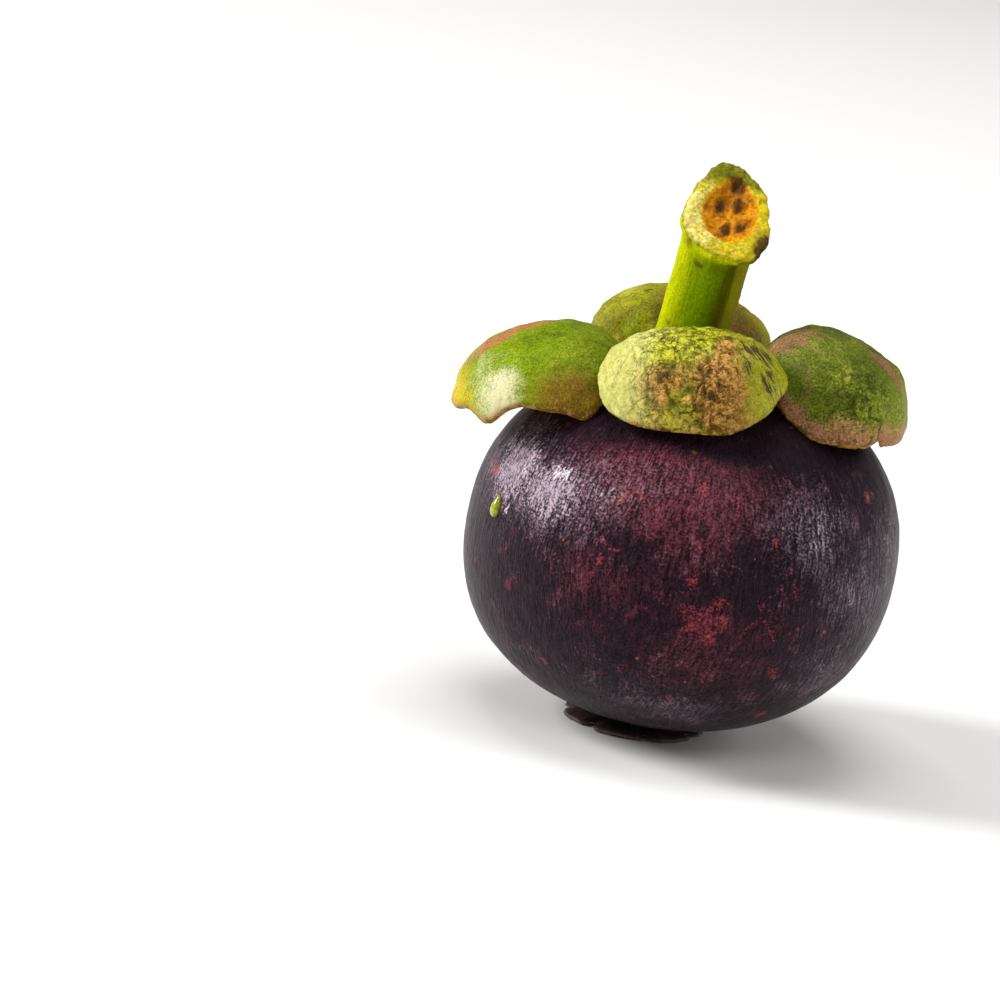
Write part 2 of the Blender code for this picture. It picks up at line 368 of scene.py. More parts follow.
class Mixer:
    """A material while it is mixed: its nodes, its patterns by name and its colour so far.

    A pattern is a layer of noise, a value stored on the mesh, or a sum or mask of other patterns.
    """

    def __init__(self, name: str, colour: str) -> None:
        """Starts a material.

        Args:
            name: the material's name.
            colour: its ground colour, as hex digits.
        """
        self.material = bpy.data.materials.new(name)
        self.material.use_nodes = True
        self.tree = self.material.node_tree
        self.colour: Any = linear(colour)
        self.patterns = {"place": add_node(self.tree, "TexCoord").outputs["Object"]}

    def read(self, name: str) -> bpy.types.NodeSocket:
        """The pattern of that name, or else what the mesh has stored under it."""
        if name not in self.patterns:
            node = add_node(self.tree, "Attribute", {"attribute_name": name})
            self.patterns[name] = node.outputs["Vector" if name == "grain" else "Fac"]
        return self.patterns[name]

    def roughen(self, size: float, reach: float) -> None:
        """Pushes places about, so that what is drawn on them turns ragged.

        Args:
            size: of the clouds that push them.
            reach: how far they are pushed.
        """
        inputs = {"Vector": self.read("place"), "Scale": 0.6 / size, "Detail": 3.0}
        push = add_node(self.tree, "TexNoise", None, inputs).outputs["Color"]
        inputs = {0: push, 1: (2 * reach, 2 * reach, 2 * reach), 2: self.read("place")}
        pushed = add_node(self.tree, "VectorMath", {"operation": "MULTIPLY_ADD"}, inputs)
        self.patterns["ragged"] = pushed.outputs[0]

    def draw(self, **clouds: Cloud) -> None:
        """Draws layers of noise and keeps each under its name."""
        for name, cloud in clouds.items():
            inputs = {"Vector": self.read(cloud.on), "Scale": 0.6 / cloud.size}
            inputs |= {"Detail": cloud.detail, "Roughness": cloud.rough, "Distortion": cloud.warp}
            self.patterns[name] = add_node(self.tree, "TexNoise", None, inputs).outputs["Fac"]

    def weigh(self, base: float = 0.0, **shares: float) -> Any:
        """A base plus a share of each named pattern."""
        total: Any = base
        for name, share in shares.items():
            inputs = {0: self.read(name), 1: share, 2: total}
            total = add_node(self.tree, "Math", {"operation": "MULTIPLY_ADD"}, inputs).outputs[0]
        return total

    def mask(
        self,
        span: tuple[float, float] | None = None,
        base: float = 0.0,
        most: float = 1.0,
        within: str = "",
        **shares: float,
    ) -> Any:
        """Where something shows: a weighed sum of patterns, with a smooth step in it.

        Args:
            span: the sum's values where the step starts and ends; without it there is no step.
            base: what the sum starts from.
            most: what the step rises to.
            within: a pattern that the mask is multiplied by.
            shares: how much of each pattern the sum has.

        Returns:
            The mask.
        """
        shown = self.weigh(base, **shares)
        if span:
            inputs = {"Value": shown, "From Min": span[0], "From Max": span[1], "To Max": most}
            settings = {"interpolation_type": "SMOOTHSTEP"}
            shown = add_node(self.tree, "MapRange", settings, inputs).outputs["Result"]
        if within:
            inputs = {0: shown, 1: self.read(within)}
            shown = add_node(self.tree, "Math", {"operation": "MULTIPLY"}, inputs).outputs[0]
        return shown

    def keep(self, name: str, *numbers: Any, **shares: Any) -> None:
        """Keeps a mask under a name, as a pattern of its own."""
        self.patterns[name] = self.mask(*numbers, **shares)

    def blend(self, under: Any, over: Any, *numbers: Any, how: str = "MIX", **shares: Any) -> Any:
        """Lays one colour over another where a mask shows it.

        Args:
            under: the lower colour, as hex digits or a socket.
            over: the upper colour, in the same way.
            numbers: the mask's span, base and most.
            how: the way that the colours mix.
            shares: the mask's other arguments.

        Returns:
            The mixed colour.
        """
        under, over = (linear(c) if isinstance(c, str) else c for c in (under, over))
        settings = {"data_type": "RGBA", "blend_type": how, "clamp_factor": True}
        inputs = {0: self.mask(*numbers, **shares), 6: under, 7: over}
        return add_node(self.tree, "Mix", settings, inputs).outputs[2]

    def lay(self, over: Any, *numbers: Any, **shares: Any) -> None:
        """Lays a colour over the colour so far, in the way of blend."""
        self.colour = self.blend(self.colour, over, *numbers, **shares)

    def fleck(
        self, tint: str, most: float, spacing: float, share: float, size: float, within: str = ""
    ) -> None:
        """Scatters flecks of uneven size over the colour so far.

        Args:
            tint: their colour.
            most: how much of it shows.
            spacing: between the places where a fleck may be.
            share: of those places that have one.
            size: of the largest flecks, across.
            within: a pattern that they are kept to.
        """
        inputs = {"Vector": self.read("ragged"), "Scale": 1.0 / spacing, "Randomness": 0.9}
        cells = add_node(self.tree, "TexVoronoi", None, inputs)
        parts = add_node(self.tree, "SeparateColor", None, {0: cells.outputs["Color"]})
        self.patterns |= {"lot": parts.outputs[0], "growth": parts.outputs[1]}
        self.patterns["away"] = cells.outputs["Distance"]
        self.keep("chosen", (1.0 - share, 1.002 - share), within=within, lot=1.0)
        small, growth = 0.12 * size / spacing, 0.4 * size / spacing
        self.lay(tint, (0.0, small), small, most, within="chosen", growth=growth, away=-1.0)

    def done(self, rough: Any, relief: dict[str, float], **others: Any) -> bpy.types.Material:
        """Feeds the shader.

        Args:
            rough: the roughness, as a number or a socket.
            relief: the depth in metres of each pattern that stands out, the broadest first.
            others: the shader's other inputs, with _ for each space in their names.

        Returns:
            The finished material.
        """
        inputs = {"Base Color": self.colour, "Roughness": rough}
        for name, depth in relief.items():
            lower = {"Normal": inputs["Normal"]} if "Normal" in inputs else {}
            lower |= {"Strength": 1.0, "Distance": depth, "Height": self.read(name)}
            inputs["Normal"] = add_node(self.tree, "Bump", None, lower).outputs["Normal"]
        inputs |= {name.replace("_", " "): value for name, value in others.items()}
        feed(self.tree, self.tree.nodes["Principled BSDF"], inputs)
        return self.material


@dataclass(frozen=True)
class RindSkin:
    """Ripe mangosteen skin, grown: near-black purple, satin, with fine threads from pole to pole."""

    name: str = "mangosteen_rind_satin"
    deep: str = "1e0e18"
    plum: str = "5c2833"
    shade: str = "10060b"
    # the colour of the grey bloom and of the painted highlight
    lilac: str = "766470"
    # the colour of painted glints
    glint: str = "b4a2ae"
    wine: str = "80303a"
    ochre: str = "935a28"
    # the colour of chalky specks and of painted glare
    chalk: str = "cfc4c8"
    gleam: str = "d0aec4"

    def make(self) -> bpy.types.Material:
        """Mixes threads, tints, marks and flecks over the dark skin, with a painted highlight, painted
        glints and painted glare on the front shoulder.
        """
        mix = Mixer(self.name, self.deep)
        mix.roughen(0.9 * MM, 0.35 * MM)
        mix.draw(
            threads=Cloud(1.0, 4.0, 0.7, 0.5, "grain"),
            strands=Cloud(3.2, 4.0, 0.6, 0.8, "grain"),
            patches=Cloud(6.0 * MM, 6.0, 0.66, 0.4),
            scuffs=Cloud(1.8 * MM, 5.0, 0.7, 0.5),
            grit=Cloud(0.20 * MM, 2.0, 0.6),
        )
        # plum blush, which is real, taken out under the sepals as painted shade
        mix.keep("flushed", base=-1.10, blush=0.9, patches=1.6, strands=0.5)
        mix.lay(self.plum, (0.0, 0.9), flushed=1.0)
        mix.lay(self.plum, (0.55, 0.68), 0.0, 0.6, flushed=0.12, scuffs=1.0)
        mix.lay(self.shade, (0.84, 0.62), 0.0, 0.8, threads=1.0, grit=0.6)
        # grey-lilac bloom, partly real and partly a painted highlight on the lit shoulder and the right
        # edge; it is taken out under the sepals as painted shade
        mix.lay(self.lilac, (0.02, 0.95), -2.46, 0.80,
                bloom=0.8, patches=1.3, scuffs=0.9, threads=1.2, grit=1.2)
        # painted glints, mostly inside the painted highlight
        mix.lay(self.glint, (1.14, 1.42), -0.76, 0.58, bloom=0.78, patches=0.7, grit=1.0, threads=0.9)
        # white chalky specks and smears, partly real and partly painted glare in the highlight and beside
        # the latex bead
        mix.lay(self.chalk, (0.30, 1.05), -3.1, 0.8, chalk=1.3, scuffs=2.0, threads=2.0, grit=1.6)
        mix.keep("scarred", base=-2.1, marks=1.0, scuffs=2.6, grit=1.6)
        mix.lay(self.wine, (0.45, 1.05), 0.0, 0.7, scarred=1.0)
        mix.lay(self.ochre, (1.15, 1.5), 0.0, 0.75, scarred=1.0)
        crust = mix.mask((0.86, 1.34), threads=1.0, grit=1.2)
        mix.lay(crust, base=0.7, how="OVERLAY")
        mix.keep("broken", (0.38, 0.55), grit=1.0)
        for tint, most, spacing, share, size in (
            (self.wine, 0.55, 4.6 * MM, 0.20, 1.7 * MM),
            (self.ochre, 0.75, 3.1 * MM, 0.16, 0.7 * MM),
            (self.chalk, 0.35, 1.3 * MM, 0.10, 0.26 * MM),
            (self.shade, 0.8, 1.5 * MM, 0.12, 0.6 * MM),
        ):
            mix.fleck(tint, most, spacing, share, size, "broken")
        depths = {"patches": 0.35, "strands": 0.20, "threads": 0.42, "scuffs": 0.26, "grit": 0.09}
        return mix.done(
            mix.weigh(0.52, threads=-0.30, bloom=-0.04),
            {name: depth * MM for name, depth in depths.items()},
            IOR=1.36,
            Specular_IOR_Level=0.28,
            Specular_Tint=linear(self.gleam),
        )


@dataclass(frozen=True)
class SepalSkin:
    """Waxy leathery sepal, grown: yellow-green, with corky, golden and spotted places."""

    name: str = "sepal_waxy_leather"
    deep: str = "5e6204"
    green: str = "92960e"
    # the pale green, also used as a painted highlight on the ends towards the key lamp
    pale: str = "cac654"
    gold: str = "dcc012"
    tan: str = "765420"
    cork: str = "ae783e"
    bark: str = "6a3c1c"
    rust: str = "92583e"
    spot: str = "3c1e28"
    inner: str = "b07c4a"
    edge: str = "5e3a1c"
    worn_edge: str = "bd8c40"
    gap: str = "2c1810"

    def make(self) -> bpy.types.Material:
        """Mixes the greens with a painted highlight on their lit ends, then lays cork, gold, spots,
        cracks and the rim over them.
        """
        mix = Mixer(self.name, self.deep)
        mix.roughen(1.1 * MM, 0.45 * MM)
        mix.draw(
            fine=Cloud(0.17 * MM, 3.0, 0.75),
            pores=Cloud(0.70 * MM, 4.0, 0.65, 0.4),
            clouds=Cloud(3.2 * MM, 5.0, 0.64, 0.4),
            fibres=Cloud(1.0, 3.0, 0.6, 0.4, "grain"),
            streaks=Cloud(0.36, 4.0, 0.65, 0.8, "grain"),
            veins=Cloud(1.5 * MM, 5.0, 0.6, 1.0, "ragged"),
        )
        middle = {0: mix.weigh(-0.5, veins=1.0)}
        mix.patterns["veins"] = add_node(mix.tree, "Math", {"operation": "ABSOLUTE"}, middle).outputs[0]
        mix.keep("net", (0.018, 0.0), within="crackle", veins=1.0)

        # the stored values carry a painted highlight on the lit ends; the light mask lays the pale colour
        # there
        mix.keep("vigour", base=-0.67, fresh=1.0, clouds=1.0, fine=0.34)
        mix.keep("light", (0.5, 1.0), vigour=1.0)
        mix.keep("depth", base=0.35, light=-0.25)
        mix.lay(self.green, (0.0, 0.5), vigour=1.0)
        mix.lay(self.pale, light=1.0)
        mix.lay(self.deep, (0.58, 0.36), within="depth", pores=1.0)
        mix.lay(self.tan, (0.46, 0.62), 0.0, 0.40, within="ribs", fibres=1.0)
        mix.lay(self.gold, (0.0, 1.1), -0.9, gold=1.2, pores=0.8, fine=0.8)
        mix.lay(self.tan, (0.10, 1.00), -1.1, 0.85, tan=1.1, clouds=0.8, fine=1.4)
        mix.lay(self.rust, (0.35, 1.10), -1.7, 0.85, rust=1.2, pores=1.0, fibres=1.0, fine=1.4)
        mix.keep("corky", (0.42, 1.00), -1.95, cork=1.1, clouds=1.3, fine=2.0, pores=1.0)
        bark = mix.blend(self.cork, self.bark, (1.38, 1.04), pores=1.0, clouds=0.9, fine=0.6)
        mix.lay(bark, corky=0.85)
        mix.lay(mix.blend(self.inner, self.cork, (0.3, 0.7), clouds=1.0), inner=1.0)
        edge = mix.blend(self.edge, self.worn_edge, (0.4, 0.62), pores=1.0)
        mix.lay(edge, (0.45, 0.9), -0.6, 0.8, rim=1.0, fine=1.2)
        mix.lay(self.spot, (2.74, 2.94), 0.0, 0.9, spots=0.6, streaks=2.6, fine=0.9, pores=0.8)
        mix.fleck(self.spot, 0.6, 1.4 * MM, 0.22, 0.38 * MM)
        mix.lay(self.bark, net=0.5)
        mix.lay(mix.mask((0.34, 0.66), pores=1.0), how="OVERLAY", crackle=0.6)
        mix.lay(mix.mask((0.30, 0.70), fine=1.0), base=0.48, how="OVERLAY", light=-0.22)
        mix.lay(self.gap, (1.20, 1.75), 0.0, 0.8, crack=1.0, fine=0.7, pores=0.9)

        mix.keep("folds", within="ribs", fibres=1.0)
        mix.keep("whole", base=1.0, net=-1.0)
        depths = {"clouds": 0.45, "folds": 0.3, "whole": 0.22, "pores": 0.18, "fine": 0.06}
        return mix.done(
            mix.weigh(0.26, pores=0.3, corky=0.20),
            {name: depth * MM for name, depth in depths.items()},
            IOR=1.35,
            Specular_IOR_Level=0.15,
            Subsurface_Weight=0.05,
            Subsurface_Radius=(1.0, 0.9, 0.3),
            Subsurface_Scale=0.6 * MM,
        )


@dataclass(frozen=True)
class StemBark:
    """Young stem bark, grown: smooth and green, with fine lines along it and a few brown marks."""

    name: str = "stem_green_bark"
    green: str = "667e00"
    # the colour of the painted highlight, also of the yellowing near the cut
    bright: str = "b8c000"
    olive: str = "827e00"
    # the colour of painted shade in the groove
    groove: str = "3c3400"
    brown: str = "5e3c14"

    def make(self) -> bpy.types.Material:
        """Mixes the greens round the stem, with a painted highlight on its lit side and painted shade
        down its groove, and draws the fine lines along it.
        """
        mix = Mixer(self.name, self.green)
        mix.draw(
            lines=Cloud(1.0, 4.0, 0.6, 0.3, "grain"),
            fine=Cloud(0.17 * MM, 3.0, 0.75),
            clouds=Cloud(2.6 * MM, 4.0, 0.6, 0.3),
        )
        mix.lay(self.bright, (0.05, 0.95), -0.35, bright=1.0, lines=0.7)
        mix.lay(self.olive, (0.1, 0.9), -0.3, olive=1.0, clouds=0.6)
        mix.lay(self.groove, (0.15, 0.95), -0.25, 0.75, groove=1.0, lines=0.5)
        mix.lay(self.brown, (0.95, 1.15), 0.0, 0.8, marks=0.5, clouds=1.0, fine=0.6)
        mix.lay(mix.mask((0.32, 0.68), fine=1.0), base=0.28, how="OVERLAY")
        return mix.done(
            mix.weigh(0.50, lines=0.22),
            {"clouds": 0.12 * MM, "lines": 0.10 * MM, "fine": 0.03 * MM},
            IOR=1.1,
            Specular_IOR_Level=0.3,
            Subsurface_Weight=0.05,
            Subsurface_Radius=(0.9, 1.0, 0.2),
            Subsurface_Scale=0.8 * MM,
        )


@dataclass(frozen=True)
class CutFlesh:
    """Fresh cut stem, sliced: moist pale rim round a darker, spongy orange pith."""

    name: str = "stem_cut_flesh"
    rim: str = "c0ac08"
    # the pale rim colour, also a painted highlight on the lit side
    pale: str = "e4d678"
    # green of the bark edge, also painted shade at the back of the cut
    lime: str = "76740c"
    pith: str = "d89000"
    amber: str = "aa6600"
    # dark vascular spots and dried browning, also painted shade at the back of the rim
    burn: str = "3a1c04"

    def make(self) -> bpy.types.Material:
        """Mixes rim and pith, browns them where they have dried, and paints a highlight on the cut's lit
        side and shade at its back.
        """
        mix = Mixer(self.name, self.rim)
        mix.draw(fine=Cloud(0.26 * MM, 3.0, 0.6), lumps=Cloud(1.1 * MM, 4.0, 0.62, 0.5))
        mix.lay(self.pale, (0.62, 1.0), -0.27, pale=0.3, lumps=1.2, fine=0.5)
        mix.lay(self.lime, (0.15, 0.8), -0.3, lime=1.0, lumps=0.6)
        mix.keep("spongy", base=-0.25, pith=1.2, lumps=0.4)
        mix.lay(self.pith, (0.02, 0.35), 0.0, 0.85, spongy=1.0)
        inside = mix.blend(self.pith, self.amber, (0.62, 0.38), lumps=1.0)
        mix.lay(inside, (0.3, 0.75), spongy=1.0)
        mix.lay(self.burn, (0.3, 0.9), -1.2, 0.92, burn=1.1, lumps=1.6, fine=0.8)
        mix.lay(mix.mask((0.32, 0.68), fine=1.0), base=0.3, how="OVERLAY")
        return mix.done(
            mix.weigh(0.2, fine=0.3),
            {"lumps": 0.45 * MM, "fine": 0.12 * MM},
            IOR=1.42,
            Specular_IOR_Level=0.12,
            Subsurface_Weight=0.12,
            Subsurface_Radius=(1.0, 0.7, 0.2),
            Subsurface_Scale=0.7 * MM,
        )


@dataclass(frozen=True)
class RosetteCork:
    """Woody stigma lobes, grown and dried: dull purple-brown cork with paler worn edges."""

    name: str = "rosette_dry_cork"
    dark: str = "241519"
    brown: str = "4b3034"
    worn: str = "7b5c52"
    speck: str = "a8803c"

    def make(self) -> bpy.types.Material:
        """Mixes the browns with fine wrinkles that run out along the lobes."""
        mix = Mixer(self.name, self.dark)
        mix.draw(
            fine=Cloud(0.35 * MM, 3.0, 0.7),
            clouds=Cloud(2.0 * MM, 4.0, 0.62, 0.4),
            wrinkles=Cloud(1.0, 4.0, 0.6, 0.5, "grain"),
            specks=Cloud(0.9 * MM, 3.0, 0.7),
        )
        mix.lay(self.brown, (0.35, 0.7), clouds=1.0)
        mix.lay(self.worn, (0.3, 0.9), -0.4, 0.7, worn=1.0, fine=0.7)
        mix.lay(self.speck, (0.70, 0.76), 0.0, 0.6, specks=1.0)
        relief = {"clouds": 0.25 * MM, "wrinkles": 0.25 * MM, "fine": 0.06 * MM}
        return mix.done(mix.weigh(0.5, fine=0.2), relief)


@dataclass(frozen=True)
class DriedLatex:
    """Dried mangosteen latex, run and set: clear yellow-green resin with a wet shine."""

    name: str = "latex_clear_resin"
    clear: str = "b9b80e"
    cloudy: str = "6f7a0c"

    def make(self) -> bpy.types.Material:
        """Clouds the resin a little and gives it a hard shine."""
        mix = Mixer(self.name, self.clear)
        mix.draw(clouds=Cloud(0.8 * MM, 3.0, 0.6))
        mix.lay(self.cloudy, (0.35, 0.65), clouds=1.0)
        return mix.done(
            0.12,
            {"clouds": 0.06 * MM},
            IOR=1.5,
            Coat_Weight=0.6,
            Coat_Roughness=0.05,
            Subsurface_Weight=0.3,
            Subsurface_Radius=(1.0, 1.0, 0.2),
            Subsurface_Scale=0.8 * MM,
        )


@dataclass(frozen=True)
class PaperFloor:
    """Studio background paper, matt and nearly white."""

    name: str = "studio_paper_matt"
    white: str = "f6f5f3"

    def make(self) -> bpy.types.Material:
        """Evens out the paper, and lets light through from below."""
        mix = Mixer(self.name, self.white)
        made = mix.done(0.9, {}, Specular_IOR_Level=0.1)
        shader, tree = mix.tree.nodes["Principled BSDF"], mix.tree
        clear = add_node(tree, "BsdfTransparent")
        side = add_node(tree, "NewGeometry").outputs["Backfacing"]
        both = add_node(tree, "MixShader", None, {0: side, 1: shader.outputs[0], 2: clear.outputs[0]})
        feed(tree, tree.nodes["Material Output"], {"Surface": both.outputs[0]})
        return made


# ---------------------------------------------------------------- the fruit's body


@dataclass
class Mark:
    """One mark on the rind: where it is and how far it reaches, in millimetres, and how strong."""

    turn: float  # degrees from +X
    height: float  # above the rind's widest level
    wide: float
    tall: float
    strength: float = 1.0


@dataclass
class Stroke:
    """A scratch or scar on the rind: corners of (turn in degrees, height in mm), and mm of width."""

    path: tuple[tuple[float, float], ...]
    width: float
    strength: float


@dataclass
class Rind:
    """The fruit's globe: a little wider than tall, square-shouldered, fuller on its +X side."""

    radius: float = 30.4 * MM
    above: float = 25.7 * MM
    below: float = 25.0 * MM
    squareness: float = 2.24
    shift: float = 2.5 * MM
    lean: float = 0.04
    dents: float = 0.3 * MM
    dent_size: float = 19.0 * MM
    hollow_depth: float = 1.2 * MM
    hollow_radius: float = 8.0 * MM
    around: int = 420
    along: int = 220
    streak_width: float = 0.30 * MM
    streak_length: float = 1.5 * MM
    reds: tuple[Mark, ...] = (
        Mark(-81.8, -2.8, 1.8, 1.8, 1.15),
        Mark(-158.5, 8.4, 1.8, 1.1, 1.2),
        Mark(-64.5, 8.6, 0.9, 1.3, 1.1),
        Mark(-27.3, 13.7, 1.1, 1.2, 1.1),
        Mark(-86.5, 14.3, 0.8, 1.2, 1.1),
        Mark(-110.0, 2.6, 1.0, 1.2, 1.15),
        Mark(-85.5, 2.2, 0.9, 1.4, 1.15),
        Mark(-84.0, 7.4, 1.4, 0.8, 0.9),
        Mark(-76.0, 12.5, 1.0, 3.0, 0.75),
        Mark(-86.0, -15.2, 0.9, 1.1, 1.1),
        Mark(-50.0, -17.5, 1.5, 0.8, 1.15),
        Mark(-58.0, -9.5, 0.8, 1.0, 0.95),
        Mark(15.0, 6.0, 2.0, 1.4, 1.1),
        Mark(70.0, -5.0, 1.8, 2.2, 1.1),
        Mark(125.0, 8.0, 1.2, 1.5, 1.15),
        Mark(165.0, -8.0, 2.0, 1.2, 1.1),
    )
    strokes: tuple[Stroke, ...] = (
        Stroke(((-78.8, -0.4), (-81.6, -2.9), (-79.4, -5.2)), 1.5, 0.95),
        Stroke(((-77.0, -2.4), (-81.6, -2.9), (-84.0, -4.0)), 1.4, 0.95),
        Stroke(((-81.6, -2.9), (-85.4, -1.8)), 1.4, 0.95),
        Stroke(((-67.0, -2.2), (-69.8, -3.2), (-70.4, -4.6)), 0.6, 0.85),
        Stroke(((-68.0, 0.5), (-61.4, -4.6)), 0.28, 0.95),
        Stroke(((-66.4, 1.0), (-63.6, -1.2)), 0.25, 0.8),
        Stroke(((-60.4, 6.3), (-58.5, 3.6), (-56.8, 0.8)), 0.26, 0.9),
        Stroke(((-109.1, 10.5), (-106.4, 12.1)), 0.24, 1.8),
        Stroke(((-104.8, 12.4), (-102.3, 11.6)), 0.24, 1.8),
        Stroke(((-111.1, 5.8), (-108.0, 4.6), (-105.2, 4.4)), 0.22, 1.4),
        Stroke(((35.0, 6.0), (38.0, 1.0)), 0.4, 1.4),
        Stroke(((110.0, 12.0), (118.0, 9.0)), 0.4, 1.5),
        Stroke(((168.0, -2.0), (175.0, -7.0)), 0.4, 1.2),
    )
    # grey-lilac bloom, partly real and partly painted light: the marks from -150 to -118 degrees paint
    # the key lamp's highlight on the shoulder, and the tall one at -15 degrees a painted edge light
    blooms: tuple[Mark, ...] = (
        Mark(-150.0, 10.0, 9.0, 7.0, 1.20),
        Mark(-130.0, 9.0, 8.5, 5.5, 1.15),
        Mark(-118.0, 9.5, 9.0, 6.5, 0.70),
        Mark(-52.0, 10.5, 9.5, 6.5, 0.75),
        Mark(-40.0, -10.0, 10.0, 6.0, 0.60),
        Mark(-34.0, 2.0, 9.0, 8.0, 0.62),
        Mark(-85.0, -17.0, 16.0, 4.0, 0.50),
        Mark(-15.0, 5.0, 9.0, 15.0, 0.58),
        Mark(40.0, 8.0, 12.0, 8.0, 0.50),
        Mark(110.0, -4.0, 12.0, 12.0, 0.42),
        Mark(170.0, 6.0, 9.0, 12.0, 0.48),
    )
    blushes: tuple[Mark, ...] = (
        Mark(-98.0, 13.5, 17.0, 8.0, 1.0),
        Mark(-108.0, 0.0, 8.0, 8.0, 0.55),
        Mark(-76.0, -8.0, 12.0, 8.0, 0.45),
        Mark(60.0, 12.0, 14.0, 8.0, 0.90),
        Mark(140.0, 4.0, 14.0, 12.0, 0.80),
        Mark(10.0, -6.0, 12.0, 10.0, 0.50),
    )
    # chalky smears, partly real and partly painted glare: the wider marks from -160 to -128 degrees paint
    # glare in the highlight, and the narrow one at -144.2 degrees paints the latex bead's glare on the
    # rind
    chalks: tuple[Mark, ...] = (
        Mark(-128.5, 11.9, 2.0, 1.2, 1.0),
        Mark(-144.2, 5.0, 0.6, 1.3, 1.0),
        Mark(-143.5, 10.3, 1.4, 0.5, 0.9),
        Mark(-160.0, 12.5, 1.0, 2.2, 0.75),
        Mark(80.0, 14.0, 2.5, 1.2, 0.9),
    )

    def __post_init__(self) -> None:
        """Finds the widest level from the solid's lowest point."""
        self.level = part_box("rind")[0].z + self.below

    def middle(self, height: Array) -> Array:
        """The x of the middle at a height above the widest level."""
        return self.shift + self.lean * height

    def points(self, polar: Array, turn: Array) -> Array:
        """Points of the surface.

        Args:
            polar: angles from the top.
            turn: turns from +X.

        Returns:
            One row for each point.
        """
        power = 2.0 / self.squareness
        rise, spread = np.cos(polar), np.abs(np.sin(polar))
        height = np.abs(rise) ** power * np.where(rise > 0, self.above, -self.below)
        radius = spread**power * self.radius
        points = wound(radius, turn, height)
        dents = np.array([noise.noise(Vector(p) / self.dent_size) for p in points])
        out = points / np.linalg.norm(points, axis=1)[:, None]
        points += out * (dents * self.dents * ease(0.1, 0.5, spread))[:, None]
        hollow = self.hollow_depth * np.exp(-((radius / self.hollow_radius) ** 2))
        points[:, 2] -= np.where(height > 0, hollow, 0.0)
        points[:, 0] += self.middle(height)
        points[:, 2] += self.level
        return points

    def holds(self, points: Array, clearance: float) -> Array:
        """Whether points are in the rind or closer to it than a clearance.

        Args:
            points: the points, one row each.
            clearance: the distance.

        Returns:
            True or False for each point.
        """
        height = points[:, 2] - self.level
        half = np.where(height > 0, self.above, self.below) + clearance
        radius = np.hypot(points[:, 0] - self.middle(height), points[:, 1])
        radius /= self.radius + clearance
        return radius**self.squareness + np.abs(height / half) ** self.squareness < 1.0

    def marked(self, points: Array, marks: tuple[Mark, ...]) -> Array:
        """The strength of a set of marks at points of the surface.

        Args:
            points: the points, one row each.
            marks: the marks.

        Returns:
            A value for each point.
        """
        total = np.zeros(len(points))
        turn = np.arctan2(points[:, 1], points[:, 0] - self.shift)
        height = points[:, 2] - self.level
        for mark in marks:
            across = apart(turn, mark.turn) * self.radius / MM / mark.wide
            away = across**2 + ((height / MM - mark.height) / mark.tall) ** 2
            total = np.maximum(total, mark.strength * np.exp(-away))
        return total

    def scratched(self, points: Array) -> Array:
        """The strength of the strokes at points of the surface.

        Args:
            points: the points, one row each.

        Returns:
            A value for each point.
        """
        turn = np.arctan2(points[:, 1], points[:, 0] - self.shift)
        flat = np.stack([turn * self.radius, points[:, 2] - self.level], axis=1)
        flat += 0.3 * MM * wander(points, 1.5 * MM, 80, 2)
        total = np.zeros(len(points))
        for stroke in self.strokes:
            path = [(math.radians(turn) * self.radius, rise * MM) for turn, rise in stroke.path]
            near = nearness(flat, path, stroke.width * MM)
            total = np.maximum(total, stroke.strength * near)
        return total

    def build(self) -> bpy.types.Mesh:
        """Shapes the globe, finer at its front, and stores what its skin reads."""
        mesh = globe("rind_skin", self.around, self.along)
        polar, turn = angles_of(mesh)
        turn -= 0.35 * np.sin(turn + math.pi / 2)
        points = self.points(polar, turn)
        heights = 0.07 * mottle(points, 5.0 * MM, 3, 2) + 0.02 * mottle(points, 1.8 * MM, 4, 2)
        swell(mesh, points, heights * MM)
        bend = mottle(points, 16.0 * MM, 5, 2) * 0.06
        around = self.radius / self.streak_width
        along = self.radius / self.streak_length
        store(mesh, "grain", wound(around, turn + bend, along * (polar + 0.5 * bend)))
        marks = np.maximum(self.marked(points, self.reds), self.scratched(points))
        store(mesh, "marks", marks)
        # painted shadow under the sepals: bloom and blush are taken out towards the top of the rind
        shaded = ease(16.5 * MM, 20.5 * MM, points[:, 2] - self.level)
        store(mesh, "bloom", self.marked(points, self.blooms) - 0.3 * shaded)
        store(mesh, "blush", self.marked(points, self.blushes) - 1.2 * shaded)
        store(mesh, "chalk", self.marked(points, self.chalks))
        return mesh

    def dress(self) -> None:
        """Puts the rind into the scene with its skin."""
        piece(self.build(), RindSkin().make(), "rind")


